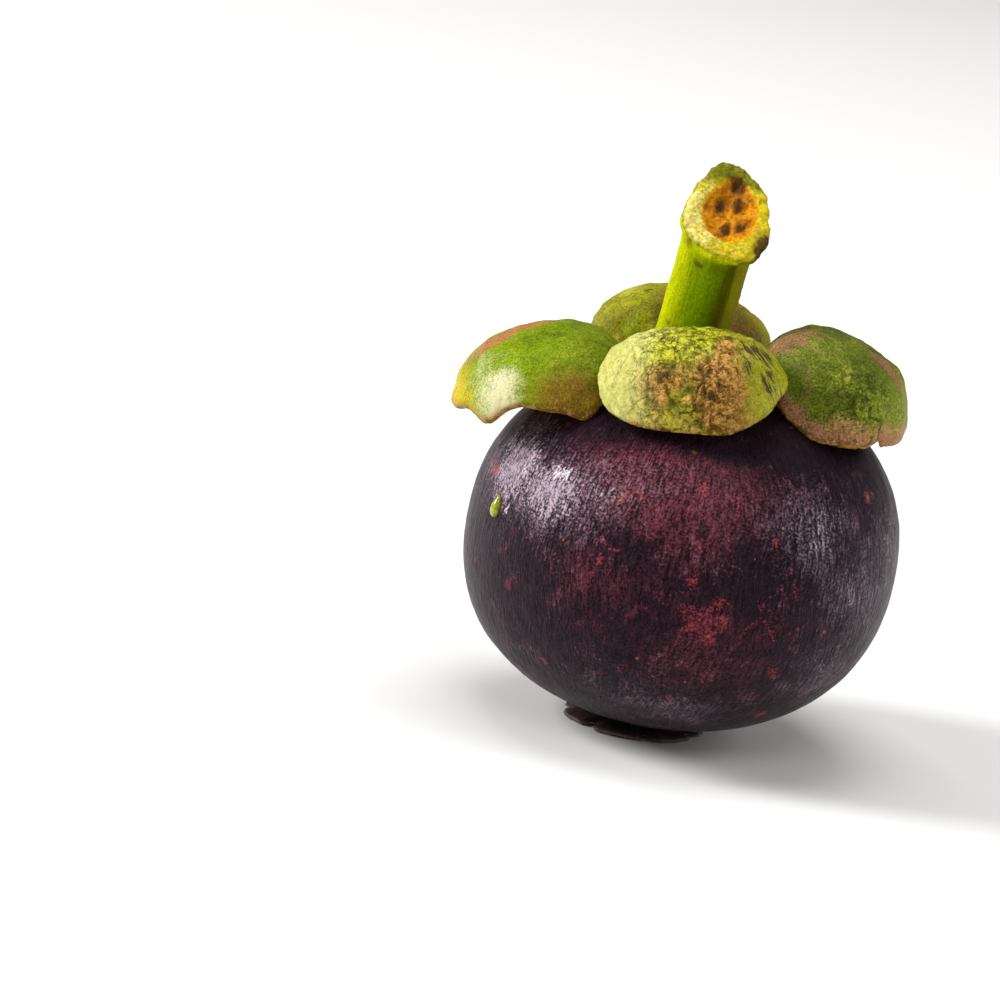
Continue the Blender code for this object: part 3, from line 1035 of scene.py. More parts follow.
@dataclass
class Rosette:
    """The stigma under the fruit: seven wedge-shaped lobes in one woody plate, flat underneath."""

    lobes: int = 7
    radius: float = 10.1 * MM
    thickness: float = 1.15 * MM
    notch_depth: float = 1.5 * MM
    notch_angle: float = math.radians(5.0)
    groove: float = 0.45 * MM
    hub: float = 1.6 * MM
    around: int = 336
    along: int = 90

    def notch(self, turn: Array) -> Array:
        """1 in the notch between two lobes, and 0 in the middle of a lobe."""
        pitch = 2 * math.pi / self.lobes
        away = np.abs(np.mod(turn, pitch) - pitch / 2)
        return np.exp(-((away / self.notch_angle) ** 2))

    def build(self) -> bpy.types.Mesh:
        """Shapes the plate, with ragged lobes, a groove between them and fine wrinkles."""
        mesh = globe("rosette_lobes", self.around, self.along)
        polar, turn = angles_of(mesh)
        notch = self.notch(turn)
        upper, share = halves(polar)
        ragged = mottle(wound(4.0, turn, 0.0), 1.0, 2, 3) * 0.3 * MM * ease(0.5, 1.0, share)
        radius = share * (self.radius - self.notch_depth * notch * ease(0.3, 1.0, share)) + ragged
        edge = ease(0.86, 1.0, share)
        top = self.thickness * (1.0 - 0.25 * ease(0.6, 1.0, share)) - 0.25 * MM * edge
        top -= 0.3 * MM * notch * ease(0.2, 0.6, share)
        bottom = self.groove * notch * ease(self.hub, 2.5 * self.hub, radius) + 0.2 * MM * edge**2
        wrinkle = mottle(np.stack([turn * 9, radius / MM * 0.35, 0 * turn], axis=1), 1.0, 6, 3)
        bottom += 0.10 * MM * np.abs(wrinkle) * ease(0.15, 0.5, share)
        height = np.where(upper, top, np.minimum(bottom, 0.6 * self.thickness))
        shape(mesh, wound(radius, turn, height))
        store(mesh, "grain", wound(14.0, turn, radius / (1.6 * MM)))
        store(mesh, "worn", ease(0.8, 1.0, share) * 0.6 + 0.25 * np.where(upper, 0.0, 1.0))
        return mesh

    def dress(self) -> None:
        """Puts the rosette into the scene."""
        piece(self.build(), RosetteCork().make(), "stigma_rosette")


# ---------------------------------------------------------------- stem


@dataclass
class Stem:
    """The cut stem: four-angled, flared at its slanting cut, the pith sunk below the rim."""

    foot_x: float = -1.7 * MM
    lean: float = 0.107
    length: float = 23.6 * MM
    radius: float = 4.95 * MM
    foot_radius: float = 5.6 * MM
    rim_radius: float = 5.95 * MM
    pith_radius: float = 3.6 * MM
    pith_depth: float = 1.9 * MM
    ridge: float = 0.24 * MM
    ridge_turn: float = math.radians(20)
    slope: float = math.tan(math.radians(44))
    lip: float = 2.2 * MM
    lip_turn: float = math.radians(-37)
    egg: float = 0.14
    egg_turn: float = math.radians(40)
    around: int = 220
    along: int = 150

    def __post_init__(self) -> None:
        """Finds the foot's level from the solid."""
        self.foot_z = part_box("stem")[0].z

    def middle(self, height: Array) -> Array:
        """The x of the stem's axis at a height above its foot."""
        return self.foot_x + self.lean * np.maximum(height, 0.0)

    def nears(self, points: Array, clearance: float) -> Array:
        """Whether points are closer to the stem than a clearance."""
        away = np.hypot(points[:, 0] - self.middle(points[:, 2] - self.foot_z), points[:, 1])
        return away < self.foot_radius + clearance

    def facing(self, turn: Array, towards: float, width: float) -> Array:
        """1 where the stem's side faces a direction, falling to 0 away from it.

        Args:
            turn: turns from +X, in radians.
            towards: the direction, in degrees.
            width: how far the strip reaches, in degrees.

        Returns:
            A value for each turn.
        """
        return np.exp(-((np.degrees(apart(turn, towards)) / width) ** 2))

    def outline(self) -> list[tuple[float, float]]:
        """The outline from the foot's centre, up the side, over the rim and into the pith."""
        top = self.length
        outline = [(0.0, 0.0), (self.foot_radius * 0.6, 0.0), (self.foot_radius, 0.0)]
        outline += [(self.foot_radius, 0.9 * MM), (self.radius + 0.2 * MM, 2.6 * MM)]
        outline += [(self.radius, top * share) for share in (0.25, 0.4, 0.55, 0.7, 0.8)]
        outline += [(self.radius + 0.25 * MM, top * 0.88), (self.rim_radius, top - 1.0 * MM)]
        outline += [(self.rim_radius, top - 0.3 * MM), (self.rim_radius - 0.7 * MM, top)]
        outline += [(self.pith_radius + 0.5 * MM, top - 0.3 * MM)]
        outline += [(self.pith_radius, top - 0.7 * self.pith_depth)]
        outline += [(self.pith_radius * 0.7, top - self.pith_depth), (0.0, top - self.pith_depth)]
        return outline

    def build(self, bark: bpy.types.Material, flesh: bpy.types.Material) -> bpy.types.Mesh:
        """Spins the outline, then ridges, cuts and roughens it.

        Args:
            bark: the finish of the side.
            flesh: the finish of the cut.

        Returns:
            The stem's mesh.
        """
        outline = np.array(self.outline())
        legs = np.linalg.norm(np.diff(outline, axis=0), axis=1)
        marks = np.concatenate([[0.0], np.cumsum(legs)])
        at = np.linspace(0.0, marks[-1], self.along + 1)
        radii, heights = np.interp(at, marks, outline[:, 0]), np.interp(at, marks, outline[:, 1])
        for _ in range(3):
            radii[1:-1] = (radii[:-2] + 2 * radii[1:-1] + radii[2:]) / 4
            heights[1:-1] = (heights[:-2] + 2 * heights[1:-1] + heights[2:]) / 4
        mesh = globe("stem_cut", self.around, self.along)
        polar, turn = angles_of(mesh)
        place = (1.0 - polar / math.pi) * self.along
        rings = np.arange(self.along + 1)
        radius, height = np.interp(place, rings, radii), np.interp(place, rings, heights)
        points = wound(radius, turn, height)
        shape(mesh, points)
        mesh.materials.append(bark)
        mesh.materials.append(flesh)
        for face in mesh.polygons:
            inward = face.normal.dot(face.center * Vector((1, 1, 0))) < 0
            cut = inward or face.normal.z > 0.45
            face.material_index = int(cut and face.center.z > 0.8 * self.length)
        share = height / self.length
        outward = ease(self.pith_radius, self.radius, radius)
        ridge = self.ridge * np.cos(4 * (turn - self.ridge_turn))
        lip = self.lip * np.maximum(np.cos(turn - self.lip_turn), 0) ** 8 * ease(0.86, 0.98, share)
        egg = self.egg * np.maximum(np.cos(turn - self.egg_turn), 0) ** 2
        grown = radius + (ridge + lip) * outward - egg * radius * ease(0.8, 0.98, share)
        x, y = grown * np.cos(turn), grown * np.sin(turn)
        sunk = (1.0 - outward) * ease(0.5, 0.6, share)
        x += sunk * (0.7 * MM - 0.25 * x * ease(0.0, self.pith_radius, y))
        y += sunk * 0.45 * MM
        z = height + self.slope * y * ease(0.35, 1.0, share)
        moved = np.stack([x + self.middle(z), y, z + self.foot_z], axis=1)
        rim = ease(self.length - 2.2 * MM, self.length - 0.6 * MM, height) * outward
        inside = 1.0 - ease(self.pith_radius - 0.2 * MM, self.pith_radius + 0.7 * MM, radius)
        inside *= ease(0.5, 0.6, share)
        rough = mottle(moved, 2.0 * MM, 8, 3) * (0.08 + 0.25 * rim + 0.40 * inside) * MM
        swell(mesh, moved, rough * ease(0.0, 0.1, share))

        store(mesh, "grain", wound(22.0, turn, height / (5.5 * MM)))
        # painted highlight down the side towards the key lamp, and real yellowing towards the cut
        store(mesh, "bright", self.facing(turn, 190.0, 45.0) + 0.6 * ease(0.80, 0.98, share))
        store(mesh, "olive", self.facing(turn, -8.0, 50.0) + 0.3 * self.facing(turn, 90.0, 60.0))
        # painted shade down one groove on the right
        store(mesh, "groove", self.facing(turn, -60.0 + 6.0 * share, 15.0) * ease(0.98, 0.75, share))
        scar = self.facing(turn, -112.0, 9.0) * np.exp(-(((share - 0.80) / 0.025) ** 2))
        burnt = self.facing(turn, -34.0, 14.0) * ease(0.90, 0.98, share)
        store(mesh, "marks", 0.12 + 0.20 * ease(0.82, 1.0, share) + np.maximum(0.8 * scar, burnt))
        store(mesh, "pith", inside)
        flat = points[:, :2] / MM  # each hole in the pith by its x, y and radius
        holes = ((-1.8, 1.1, 1.2), (0.7, 1.8, 1.2), (-0.2, -1.8, 0.9), (1.8, -1.4, 1.0))
        burn = [spot(flat, (x, y), (size, size)) for x, y, size in holes]
        # painted shade at the back of the rim, and a real brown spot on the lip
        burn += [1.1 * spot(flat, (-0.2, 3.5), (2.0, 0.8)), 1.3 * spot(flat, (4.6, -3.2), (1.3, 1.2))]
        store(mesh, "burn", np.maximum.reduce(burn) * ease(0.6, 0.8, share))
        # painted highlight on the side of the cut towards the key lamp
        store(mesh, "pale", self.facing(turn, 200.0, 60.0))
        # green at the outer edge is real; the rise towards the back is painted shade
        green = 0.6 * ease(self.rim_radius - 0.7 * MM, self.rim_radius, radius)
        store(mesh, "lime", np.maximum(green, 0.9 * ease(1.5, 4.5, flat[:, 1])) * (1 - inside))
        return mesh

    def dress(self) -> None:
        """Puts the stem into the scene with its bark and its cut face."""
        mesh = self.build(StemBark().make(), CutFlesh().make())
        piece(mesh, mesh.materials[0], "stem")


# ---------------------------------------------------------------- sepals


class Side(Enum):
    """The four sepals, by the way that they point."""

    FRONT = "sepal_front"
    RIGHT = "sepal_right"
    BACK = "sepal_back"
    LEFT = "sepal_left"


@dataclass(frozen=True)
class Seam:
    """The border between two sepals: its direction, and how far it leans over the next one."""

    turn: float
    lean: float


SEAMS = (Seam(-126, 0.32), Seam(-46, -0.12), Seam(47, 0.12), Seam(142, -0.2))
SEAM_LEVEL = 22.0 * MM  # above the rind's widest level
CRACKS = {  # lines of (across, along) corners on a sepal's face, in millimetres
    Side.FRONT: (
        ((3.0, 2.2), (2.4, 3.0), (1.7, 3.8), (2.1, 4.7), (2.5, 5.6), (2.6, 6.7)),
        ((1.5, 6.9), (1.5, 7.6), (1.2, 8.3), (1.1, 8.5)),
        ((-0.6, 8.5), (1.2, 8.3)),
        ((2.5, 5.6), (1.9, 6.4), (1.5, 6.9)),
        ((-5.4, 4.0), (-5.2, 5.6), (-4.9, 7.6)),
    ),
    Side.RIGHT: (
        ((-10.0, 6.3), (-9.2, 7.4), (-8.5, 8.2), (-8.7, 8.5), (-9.5, 8.5)),
        ((-9.9, 7.8), (-9.5, 8.5), (-9.3, 9.6)),
        ((-9.6, 3.6), (-9.9, 4.7), (-9.6, 5.8)),
    ),
}


@dataclass(frozen=True)
class Dip:
    """A place where a sepal's margin stops short, or with a negative depth runs on."""

    turn: float  # degrees from the tip
    width: float
    depth: float  # degrees of the shell


@dataclass
class Sepal:
    """One cupped sepal, cut from the shell of an ellipsoid over the fruit's shoulder."""

    side: Side
    turn: float
    reach: float
    shift: float
    height: float
    droop: float
    roll: float
    length: float
    width: float
    rise: float
    tip_angle: float
    side_angle: float
    stem_angle: float
    tip_reach: float = 0.0
    tip_keenness: float = 6.0
    wave: float = 0.0
    fullness: float = 2.0
    corners: float = 2.0
    thickness: float = 1.9 * MM
    margin_share: float = 0.6
    wrinkle: float = 0.22 * MM
    ragged: float = 1.2  # of the margin, in degrees
    under: float = 0.0  # how far it runs on under its neighbours
    dips: tuple[Dip, ...] = ()
    around: int = 260
    along: int = 170

    def axes(self) -> Matrix:
        """Its own axes as columns: along, across and up."""
        turned = Matrix.Rotation(math.radians(self.turn), 3, "Z")
        drooped = Matrix.Rotation(math.radians(self.droop), 3, "Y")
        return turned @ drooped @ Matrix.Rotation(math.radians(self.roll), 3, "X")

    def own_points(self, angle: Array, turn: Array, depth: Array) -> Array:
        """Points of the shell along its own axes.

        Args:
            angle: angles from the crown.
            turn: turns from the tip.
            depth: depths below the outer face.

        Returns:
            One row for each point.
        """
        power = 2.0 / self.fullness
        plan = np.abs(np.cos(turn)) ** self.corners + np.abs(np.sin(turn)) ** self.corners
        spread = np.sin(angle) ** power * plan ** (-1 / self.corners)
        rise = np.copysign(np.abs(np.cos(angle)) ** power, np.cos(angle))
        own = np.stack([
            (self.length - depth) * spread * np.cos(turn),
            (self.width - depth) * spread * np.sin(turn),
            (self.rise - depth) * rise,
        ], axis=1)
        towards_tip = np.maximum(np.cos(turn), 0.0) ** self.tip_keenness
        own[:, 0] += self.tip_reach * towards_tip * ease(0.0, math.radians(95), angle)
        return own

    def in_fruit(self, own: Array, level: float) -> Array:
        """Turns points along its own axes into the fruit's.

        Args:
            own: the points.
            level: the rind's widest level.

        Returns:
            The same points in the fruit's frame.
        """
        heading = math.radians(self.turn)
        centre = np.array([
            self.reach * math.cos(heading) - self.shift * math.sin(heading),
            self.reach * math.sin(heading) + self.shift * math.cos(heading),
            level + self.height,
        ])
        return centre + own @ np.array(self.axes()).T

    def past_seam(self, points: Array, level: float) -> Array:
        """Whether points cross the seams to the two neighbours."""
        place = list(Side).index(self.side)
        above = points[:, 2] - level - SEAM_LEVEL
        crossed = np.zeros(len(points), bool)
        for seam, sign in ((SEAMS[place], 1), (SEAMS[(place + 1) % 4], -1)):
            turn = math.radians(seam.turn)
            flat = points[:, 1] * math.cos(turn) - points[:, 0] * math.sin(turn)
            crossed |= sign * (flat + seam.lean * above) < -self.under
        return crossed

    def margins(self, turn: Array, rind: Rind, stem: Stem) -> Array:
        """How far the sepal runs from its crown, up to where it meets the rind or the stem.

        Args:
            turn: turns from the tip, evenly spaced.
            rind: the rind that it lies on.
            stem: the stem that it grows round.

        Returns:
            An angle for each turn.
        """
        tipward = np.cos(turn)
        end = np.where(tipward > 0, self.tip_angle, self.stem_angle)
        most = self.side_angle + (end - self.side_angle) * tipward**2
        most = most + self.wave * np.sin(3 * turn + math.radians(self.turn)) * np.cos(2 * turn)
        low, high = math.radians(30), np.radians(most)
        free = np.full(len(turn), low)
        going = np.ones(len(turn), bool)
        steps = 240
        for step in range(1, steps + 1):
            angle = low + (high - low) * step / steps
            ends = self.in_fruit(self.own_points(angle, turn, 0.3 * self.thickness), rind.level)
            going &= ~rind.holds(ends, 0.0) & ~stem.nears(ends, 0.0)
            going &= ~self.past_seam(ends, rind.level)
            free = np.where(going, angle, free)
        reach = len(turn) // 36  # the margin is evened out over 10 degrees to each side
        window = range(-reach, reach + 1)
        least = np.min([np.roll(free, j) for j in window], axis=0)
        margins = np.mean([np.roll(least, j) for j in window], axis=0)
        for dip in self.dips:
            away = np.degrees(apart(turn, dip.turn)) / dip.width
            margins -= math.radians(dip.depth) * np.exp(-(away**2))
        return margins

    def build(self, rind: Rind, stem: Stem) -> bpy.types.Mesh:
        """Shapes the shell, wrinkles it and stores what its skin reads.

        Args:
            rind: the rind that it lies on.
            stem: the stem that it grows round.

        Returns:
            The sepal's mesh.
        """
        mesh = globe(f"{self.side.value}_skin", self.around, self.along)
        polar, turn = angles_of(mesh)
        turns = np.linspace(0.0, 2 * math.pi, self.around, endpoint=False)
        margins = self.margins(turns, rind, stem)
        ring = wound(5.0, turns, 0.0)
        seed = list(Side).index(self.side)
        margins -= math.radians(self.ragged) * (0.5 + 0.8 * np.abs(mottle(ring, 0.5, seed + 20, 4)))
        place = np.round(turn / (2 * math.pi) * self.around).astype(int) % self.around
        _, spread = halves(polar)
        edge = ease(math.radians(86), math.radians(94), polar)
        thinned = (1.0 - self.margin_share) * ease(0.5, 1.0, spread)
        depth = edge * self.thickness * (1.0 - thinned)
        own = self.own_points(spread * margins[place], turn, depth)
        swell(mesh, self.in_fruit(own, rind.level), self.relief(own, spread, edge))
        root = own[:, 0] + 1.25 * self.length
        fan = np.arctan2(own[:, 1], root) * self.length / (0.55 * MM)
        away = np.hypot(own[:, 1], root) / (6.0 * MM)
        store(mesh, "grain", np.stack([fan, away, 0.0 * fan], axis=1))
        store(mesh, "rim", ease(0.90, 1.0, spread) * (1 - 0.4 * edge))
        store(mesh, "inner", edge)
        for name, values in self.tints(own, spread).items():
            store(mesh, name, values * (1 - edge))
        return mesh

    def cracks(self, own: Array, width: float) -> Array:
        """How close points come to the sepal's cracks.

        Args:
            own: the points along the sepal's own axes.
            width: of a crack, across.

        Returns:
            1 in a crack, falling to 0 away from it.
        """
        flat = own[:, [1, 0]] + 0.35 * MM * wander(own, 1.3 * MM, 70, 3)
        found = np.zeros(len(own))
        for line in CRACKS.get(self.side, ()):
            path = [(across * MM, along * MM) for across, along in line]
            found = np.maximum(found, nearness(flat, path, width / 2))
        return found

    def relief(self, own: Array, spread: Array, edge: Array) -> Array:
        """How far each point stands out of the plain shell.

        Args:
            own: the points along the sepal's own axes.
            spread: 0 at the crown and 1 at the margin.
            edge: 0 on the outer face and 1 on the inner one.

        Returns:
            A height for each point.
        """
        seed = list(Side).index(self.side)
        stretched = own * np.array((0.45, 1.2, 0.6))
        folds = mottle(stretched, 1.5 * MM, seed + 30, 3)
        creases = np.exp(-((folds / 0.12) ** 2))
        broad = mottle(own, 5.5 * MM, seed + 40, 2)
        height = self.wrinkle * (0.8 * folds - 0.4 * creases) + 0.40 * MM * broad
        height -= 0.28 * MM * self.cracks(own, 0.6 * MM)
        lip = np.exp(-(((spread - 0.95) / 0.05) ** 2)) * 0.15 * MM
        return (height + lip) * (1 - edge) * ease(1.0, 0.93, spread)

    def tints(self, own: Array, spread: Array) -> dict[str, Array]:
        """Where the sepal is green and pale, where a highlight is painted on it, and where it is golden,
        rusty, corky, spotted and cracked.

        Args:
            own: the points along the sepal's own axes.
            spread: 0 at the crown and 1 at the margin.

        Returns:
            Values for each attribute that the skin reads.
        """
        flat, none = own[:, [1, 0]] / MM, 0.0 * spread
        across, along = flat[:, 0], flat[:, 1]
        found = {name: none for name in ("gold", "rust", "tan", "cork", "crackle", "ribs")}
        found["crack"] = self.cracks(own, 0.30 * MM)
        rim = ease(0.84, 1.0, spread)
        if self.side is Side.FRONT:
            # paler towards the left end: a painted highlight from the key lamp; a little darker to the
            # right: painted shade
            found["fresh"] = (
                0.66
                + 0.45 * ease(-3.0, -9.0, across)
                - 0.30 * spot(flat, (4, -4), (6, 3))
                - 0.12 * ease(2.0, 6.0, across)
            )
            found["cork"] = np.maximum.reduce([
                1.05 * spot(flat, (4.5, 6.0), (4.2, 5.5)),
                0.90 * spot(flat, (4.8, -0.5), (2.0, 3.2)),
                0.74 * spot(flat, (-2.5, 5.5), (4.2, 4.0)),
                0.75 * ease(0.84, 1.0, spread) * ease(10.0, 6.0, np.abs(across)),
            ])
            found["tan"] = 0.55 * spot(flat, (1.0, 6.0), (6.0, 5.0)) + 0.4 * ease(0.9, 1.0, spread)
            found["spots"] = np.maximum.reduce([
                1.35 * spot(flat, (9.0, -1.5), (3.4, 3.2)),
                1.20 * spot(flat, (11.0, 2.5), (1.8, 3.0)),
                0.95 * spot(flat, (7.5, 2.0), (2.5, 2.5)),
                1.05 * spot(flat, (-3.2, -1.4), (2.2, 1.4)),
                0.70 * spot(flat, (-5.5, 4.0), (1.6, 1.4)),
                0.30 + none,
            ])
            found["crackle"] = 0.15 + 0.85 * ease(9.0, 4.0, np.abs(across))
        elif self.side is Side.LEFT:
            # paler towards the tip, which faces the key lamp, with a cream spot: a painted highlight
            found["fresh"] = (
                0.30
                + 0.22 * ease(0.0, 8.0, along)
                + 0.12 * spot(flat, (9.0, 4.0), (6.5, 6.0))
                + 0.42 * spot(flat, (11.8, 5.8), (3.4, 3.0))
            )
            found["gold"] = 0.85 * ease(8.0, 12.0, along)
            found["rust"] = np.maximum.reduce([
                1.20 * spot(flat, (0.4, 6.0), (2.6, 4.5)),
                1.15 * spot(flat, (-0.8, 3.2), (2.3, 4.0)),
                1.10 * spot(flat, (-2.0, 0.5), (2.2, 5.0)),
            ])
            found["tan"] = np.maximum(1.1 * spot(flat, (14.8, -3.5), (3.0, 6.5)), 0.55 * rim)
            found["cork"] = 0.55 * ease(0.92, 1.0, spread)
            found["spots"] = 0.10 + 0.5 * ease(11.5, 13.0, along)
            found["ribs"] = 0.6 * spot(flat, (4.0, -8.0), (7.0, 4.0))
        elif self.side is Side.RIGHT:
            found["fresh"] = 0.22 + 0.35 * ease(3.0, 9.0, along)
            found["rust"] = np.maximum.reduce([
                1.15 * spot(flat, (-1.0, 4.5), (2.1, 4.2)),
                0.75 * spot(flat, (-4.0, -8.5), (4.5, 4.0)),
                0.72 * ease(0.80, 0.96, spread) * ease(2.0, -4.0, across),
            ])
            found["tan"] = np.maximum(1.05 * ease(0.70, 0.94, spread) * ease(-1.0, 4.0, along), 0.5 * rim)
            found["cork"] = 0.35 * ease(0.94, 1.0, spread)
            found["spots"] = 0.10 + 0.3 * spot(flat, (-3.5, 2.0), (3.0, 6.0))
            found["crackle"] = 0.9 * spot(flat, (-10.0, 3.0), (3.0, 4.5))
            found["ribs"] = 0.6 * ease(2.0, -6.0, along)
        else:
            found["fresh"] = 0.45 + 0.2 * ease(4.0, 9.0, across) - 0.3 * ease(-3.5, -8.5, along)
            found["rust"] = 0.5 * spot(flat, (-10.0, -4.0), (3.0, 3.0))
            found["tan"] = np.maximum(0.5 * rim, 0.75 * ease(-3.0, -8.5, along) * ease(7.5, 3.0, across))
            found["cork"] = 0.4 * rim
            found["spots"] = 0.15 + 0.9 * spot(flat, (6.3, -5.1), (0.9, 0.9))
            found["ribs"] = 0.9 + none
        return found

    def dress(self, rind: Rind, stem: Stem, skin: bpy.types.Material) -> None:
        """Puts the sepal into the scene."""
        piece(self.build(rind, stem), skin, self.side.value)


@dataclass
class CalyxBase:
    """The fleshy ground that the stem and sepals grow from, seen between them from above."""

    radius: float = 9.5 * MM
    thickness: float = 1.0 * MM
    around: int = 160
    along: int = 60

    def build(self, rind: Rind, stem: Stem) -> bpy.types.Mesh:
        """Lays a thin cushion on the top of the rind.

        Args:
            rind: the rind that it lies on.
            stem: the stem that it surrounds.

        Returns:
            The mesh.
        """
        mesh = globe("calyx_base", self.around, self.along)
        polar, turn = angles_of(mesh)
        upper, share = halves(polar)
        radius = share * self.radius * (1 + 0.06 * np.cos(4 * turn))
        x, y = stem.foot_x + radius * np.cos(turn), radius * np.sin(turn)
        off = np.hypot(x - rind.shift - rind.lean * rind.above, y) / rind.radius
        top = rind.above * (1 - off**rind.squareness) ** (1 / rind.squareness)
        top -= rind.hollow_depth * np.exp(-((off * rind.radius / rind.hollow_radius) ** 2))
        lift = np.where(upper, self.thickness * (1 - ease(0.55, 1.0, share)), 0.0)
        z = rind.level + top + 0.05 * MM + lift
        points = np.stack([x, y, z], axis=1)
        own = points - np.array((stem.foot_x, 0.0, rind.level + rind.above))
        faded = (1 - ease(0.8, 1.0, share)) * upper
        swell(mesh, points, mottle(own, 1.6 * MM, 60, 3) * 0.15 * MM * faded)
        store(mesh, "grain", own / (1.2 * MM))
        for name, value in {"fresh": 0.2, "ribs": 0.5, "spots": 0.3}.items():
            store(mesh, name, np.full(len(share), value))
        store(mesh, "cork", 0.35 + 0.6 * ease(0.6, 1.0, share))
        return mesh

    def dress(self, rind: Rind, stem: Stem, skin: bpy.types.Material) -> None:
        """Puts the calyx base into the scene."""
        piece(self.build(rind, stem), skin)


@dataclass
class LatexBead:
    """A dried drop that ran out of the rind."""

    size: tuple[float, float, float] = (0.7 * MM, 0.85 * MM, 1.6 * MM)
    sunk: float = 0.55 * MM
    taper: float = 0.35
    tilt: float = 0.12
    around: int = 64
    along: int = 40

    def build(self, rind: Rind) -> bpy.types.Mesh:
        """Shapes a drop, thicker at its foot, lying on the rind.

        Args:
            rind: the rind that it lies on.

        Returns:
            The mesh.
        """
        low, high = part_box("latex_bead")
        centre = np.array((low + high) / 2)
        mesh = globe("latex_drop", self.around, self.along)
        points = corners_of(mesh)
        heading = math.atan2(centre[1], centre[0] - rind.shift)
        outward = np.array((math.cos(heading), math.sin(heading), self.tilt))
        outward /= np.linalg.norm(outward)
        sideways = np.array((-math.sin(heading), math.cos(heading), 0.0))
        upward = np.cross(outward, sideways)
        out, side, up = points[:, 0:1], points[:, 1:2], points[:, 2:3]
        fuller = 1.0 - self.taper * up
        spread = out * fuller * self.size[0] * outward + side * fuller * self.size[1] * sideways
        shape(mesh, centre - outward * self.sunk + spread + up * self.size[2] * upward)
        return mesh

    def dress(self, rind: Rind) -> None:
        """Puts the bead into the scene."""
        piece(self.build(rind), DriedLatex().make(), "latex_bead")


# ---------------------------------------------------------------- studio


@dataclass
class Lamp:
    """One soft box: where it stands, how large it is and how strong."""

    name: str
    place: tuple[float, float, float]
    size: tuple[float, float]
    power: float
    tint: str = "ffffff"


@dataclass
class Studio:
    """A pale paper floor, soft boxes and the camera."""

    elevation: float = 13.0
    roll: float = 10.0
    distance: float = 0.6
    frame_width: float = 0.14085  # of what the camera takes in, at the fruit
    body: tuple[float, float, float] = (3.65 * MM, 0.0, 25.6 * MM)
    aside: tuple[float, float] = (-26.5 * MM, 7.46 * MM)  # of the view's middle from the body's
    lit: tuple[float, float, float] = (0.0, 0.0, 40 * MM)  # where the lamps are turned to
    room_light: float = 0.20
    paper: float = 6.0
    lamps: tuple[Lamp, ...] = (
        Lamp("key_box", (-1.90, -0.25, 1.12), (0.7, 1.0), 50.0),
        Lamp("edge_box", (1.75, 0.1, 0.85), (0.6, 1.4), 12.0),
        Lamp("top_box", (-0.1, 0.2, 2.1), (1.3, 1.2), 20.0),
        Lamp("front_fill", (0.3, -1.8, 1.9), (1.4, 1.0), 11.0),
    )

    def lay_floor(self) -> None:
        """Lays the floor under the fruit."""
        bm = bmesh.new()
        bmesh.ops.create_grid(bm, x_segments=2, y_segments=2, size=self.paper)
        mesh = bpy.data.meshes.new("floor")
        bm.to_mesh(mesh)
        bm.free()
        mesh.materials.append(PaperFloor().make())
        floor = bpy.data.objects.new("floor", mesh)
        bpy.context.scene.collection.objects.link(floor)

    def hang_lamps(self) -> None:
        """Hangs the soft boxes, all turned to the fruit."""
        for lamp in self.lamps:
            data = bpy.data.lights.new(lamp.name, "AREA")
            data.shape = "RECTANGLE"
            data.size, data.size_y = lamp.size
            data.energy = lamp.power
            data.color = linear(lamp.tint)[:3]
            made = bpy.data.objects.new(lamp.name, data)
            made.location = lamp.place
            aim = Vector(self.lit) - Vector(lamp.place)
            made.rotation_euler = aim.to_track_quat("-Z", "Y").to_euler()
            bpy.context.scene.collection.objects.link(made)

    def light_room(self) -> None:
        """Fills the room with even white light."""
        world = bpy.data.worlds.new("studio_room")
        world.use_nodes = True
        back = world.node_tree.nodes["Background"]
        back.inputs["Color"].default_value = linear("ffffff")
        back.inputs["Strength"].default_value = self.room_light
        bpy.context.scene.world = world

    def place_camera(self) -> None:
        """Stands the camera in front, a little above, and turned on its axis."""
        rise, turn = math.radians(self.elevation), math.radians(self.roll)
        back = Vector((0.0, -math.cos(rise), math.sin(rise)))
        level, above = Vector((1.0, 0.0, 0.0)), Vector((0.0, math.sin(rise), math.cos(rise)))
        right = level * math.cos(turn) + above * math.sin(turn)
        up = above * math.cos(turn) - level * math.sin(turn)
        eye = Vector(self.body) + back * self.distance
        aim = Vector(self.body) + right * self.aside[0] + up * self.aside[1]
        back = (eye - aim).normalized()
        right = up.cross(back).normalized()
        data = bpy.data.cameras.new("camera")
        data.sensor_width = 36.0
        data.lens = 36.0 * self.distance / self.frame_width
        data.clip_start, data.clip_end = 0.01, 20.0
        camera = bpy.data.objects.new("camera", data)
        axes = Matrix((right, back.cross(right), back)).transposed()
        camera.matrix_world = Matrix.Translation(eye) @ axes.to_4x4()
        bpy.context.scene.collection.objects.link(camera)
        bpy.context.scene.camera = camera

    def set_up(self) -> None:
        """Sets up the whole studio."""
        self.lay_floor()
        self.hang_lamps()
        self.light_room()
        self.place_camera()
        bpy.context.scene.view_settings.view_transform = "Standard"
        log.info("studio: %d lamps", len(self.lamps))


SKINS = {
    Side.FRONT: SepalSkin("sepal_front_waxy_wrinkled", "6e7204", "a0a21e", "c8c66e"),
    Side.RIGHT: SepalSkin("sepal_right_waxy_dull", "4a580c", "788620", "a8b050",
                          tan="ac8450", rust="9c6650"),
    Side.BACK: SepalSkin("sepal_back_waxy_fibrous"),
    # the left sepal's pale colour is a cream painted highlight
    Side.LEFT: SepalSkin("sepal_left_waxy_smooth", "4e6200", "7e9400", "d8d2a2", "c6ac0e",
                         tan="7e5a1a", rust="b06c48"),
}


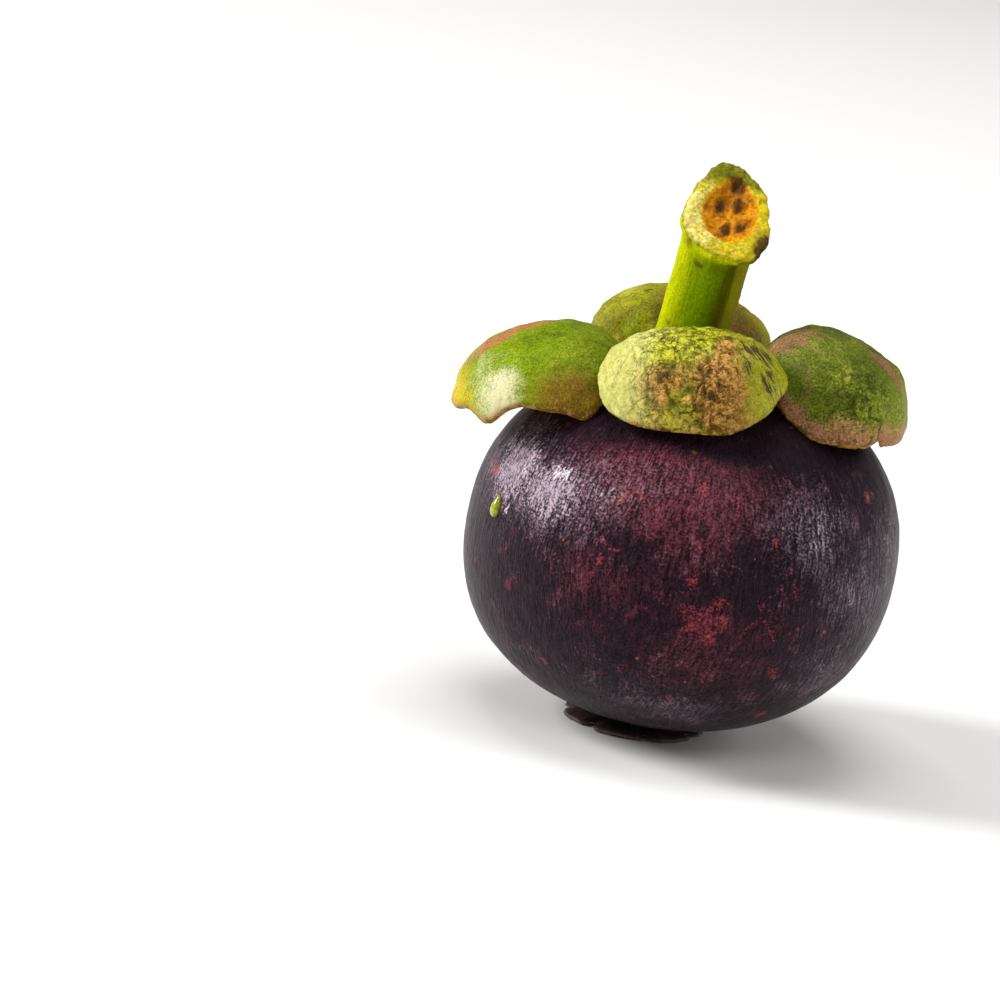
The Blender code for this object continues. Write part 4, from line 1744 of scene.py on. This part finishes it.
def sepals() -> tuple[Sepal, ...]:
    """The four sepals with their sizes."""
    return (
        Sepal(
            Side.FRONT, -90, reach=14.7 * MM, shift=0.4 * MM, height=24.3 * MM, droop=30, roll=8,
            length=9.1 * MM, width=13.2 * MM, rise=8.9 * MM, tip_angle=116, side_angle=114,
            stem_angle=150, wave=4, fullness=2.3, corners=2.2, wrinkle=0.17 * MM,
            dips=(Dip(52, 20, 7), Dip(-55, 20, 6), Dip(0, 45, 5),
                  Dip(78, 22, 28), Dip(45, 14, 4), Dip(99, 12, 6)),
            around=340, along=220,
        ),
        Sepal(
            Side.RIGHT, -6, reach=18.6 * MM, shift=0.0, height=22.8 * MM, droop=20, roll=0,
            length=11.5 * MM, width=12.4 * MM, rise=11.0 * MM, tip_angle=90, side_angle=92,
            stem_angle=150, wave=3, fullness=2.4, corners=2.2, wrinkle=0.10 * MM,
            dips=(Dip(-39, 4, 5), Dip(-87, 24, -9), Dip(-20, 20, 2)),
        ),
        Sepal(
            Side.BACK, 101, reach=15.4 * MM, shift=-0.25 * MM, height=25.4 * MM, droop=24, roll=0,
            length=8.8 * MM, width=13.0 * MM, rise=8.5 * MM, tip_angle=116, side_angle=114,
            stem_angle=150, wave=3, fullness=2.2, corners=2.2, wrinkle=0.12 * MM, under=4.0 * MM,
        ),
        Sepal(
            Side.LEFT, 188, reach=19.4 * MM, shift=0.0, height=17.2 * MM, droop=21.5, roll=0,
            length=12.8 * MM, width=14.4 * MM, rise=11.2 * MM, tip_angle=78, side_angle=87,
            stem_angle=150, tip_reach=0.7 * MM, tip_keenness=20, wave=3, fullness=2.25, corners=2.6,
            margin_share=0.4, wrinkle=0.06 * MM, ragged=0.8,
            dips=(Dip(5, 14, -1), Dip(32, 9, 3), Dip(49, 8, -4), Dip(70, 15, 9), Dip(110, 11, -6)),
        ),
    )


def main() -> None:
    """Builds the fruit and the studio round it."""
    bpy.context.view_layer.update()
    rind, stem = Rind(), Stem()
    rind.dress()
    Rosette().dress()
    stem.dress()
    skins = {side: skin.make() for side, skin in SKINS.items()}
    for sepal in sepals():
        sepal.dress(rind, stem, skins[sepal.side])
    CalyxBase().dress(rind, stem, skins[Side.BACK])
    LatexBead().dress(rind)
    Studio().set_up()


if __name__ == "__main__":
    main()
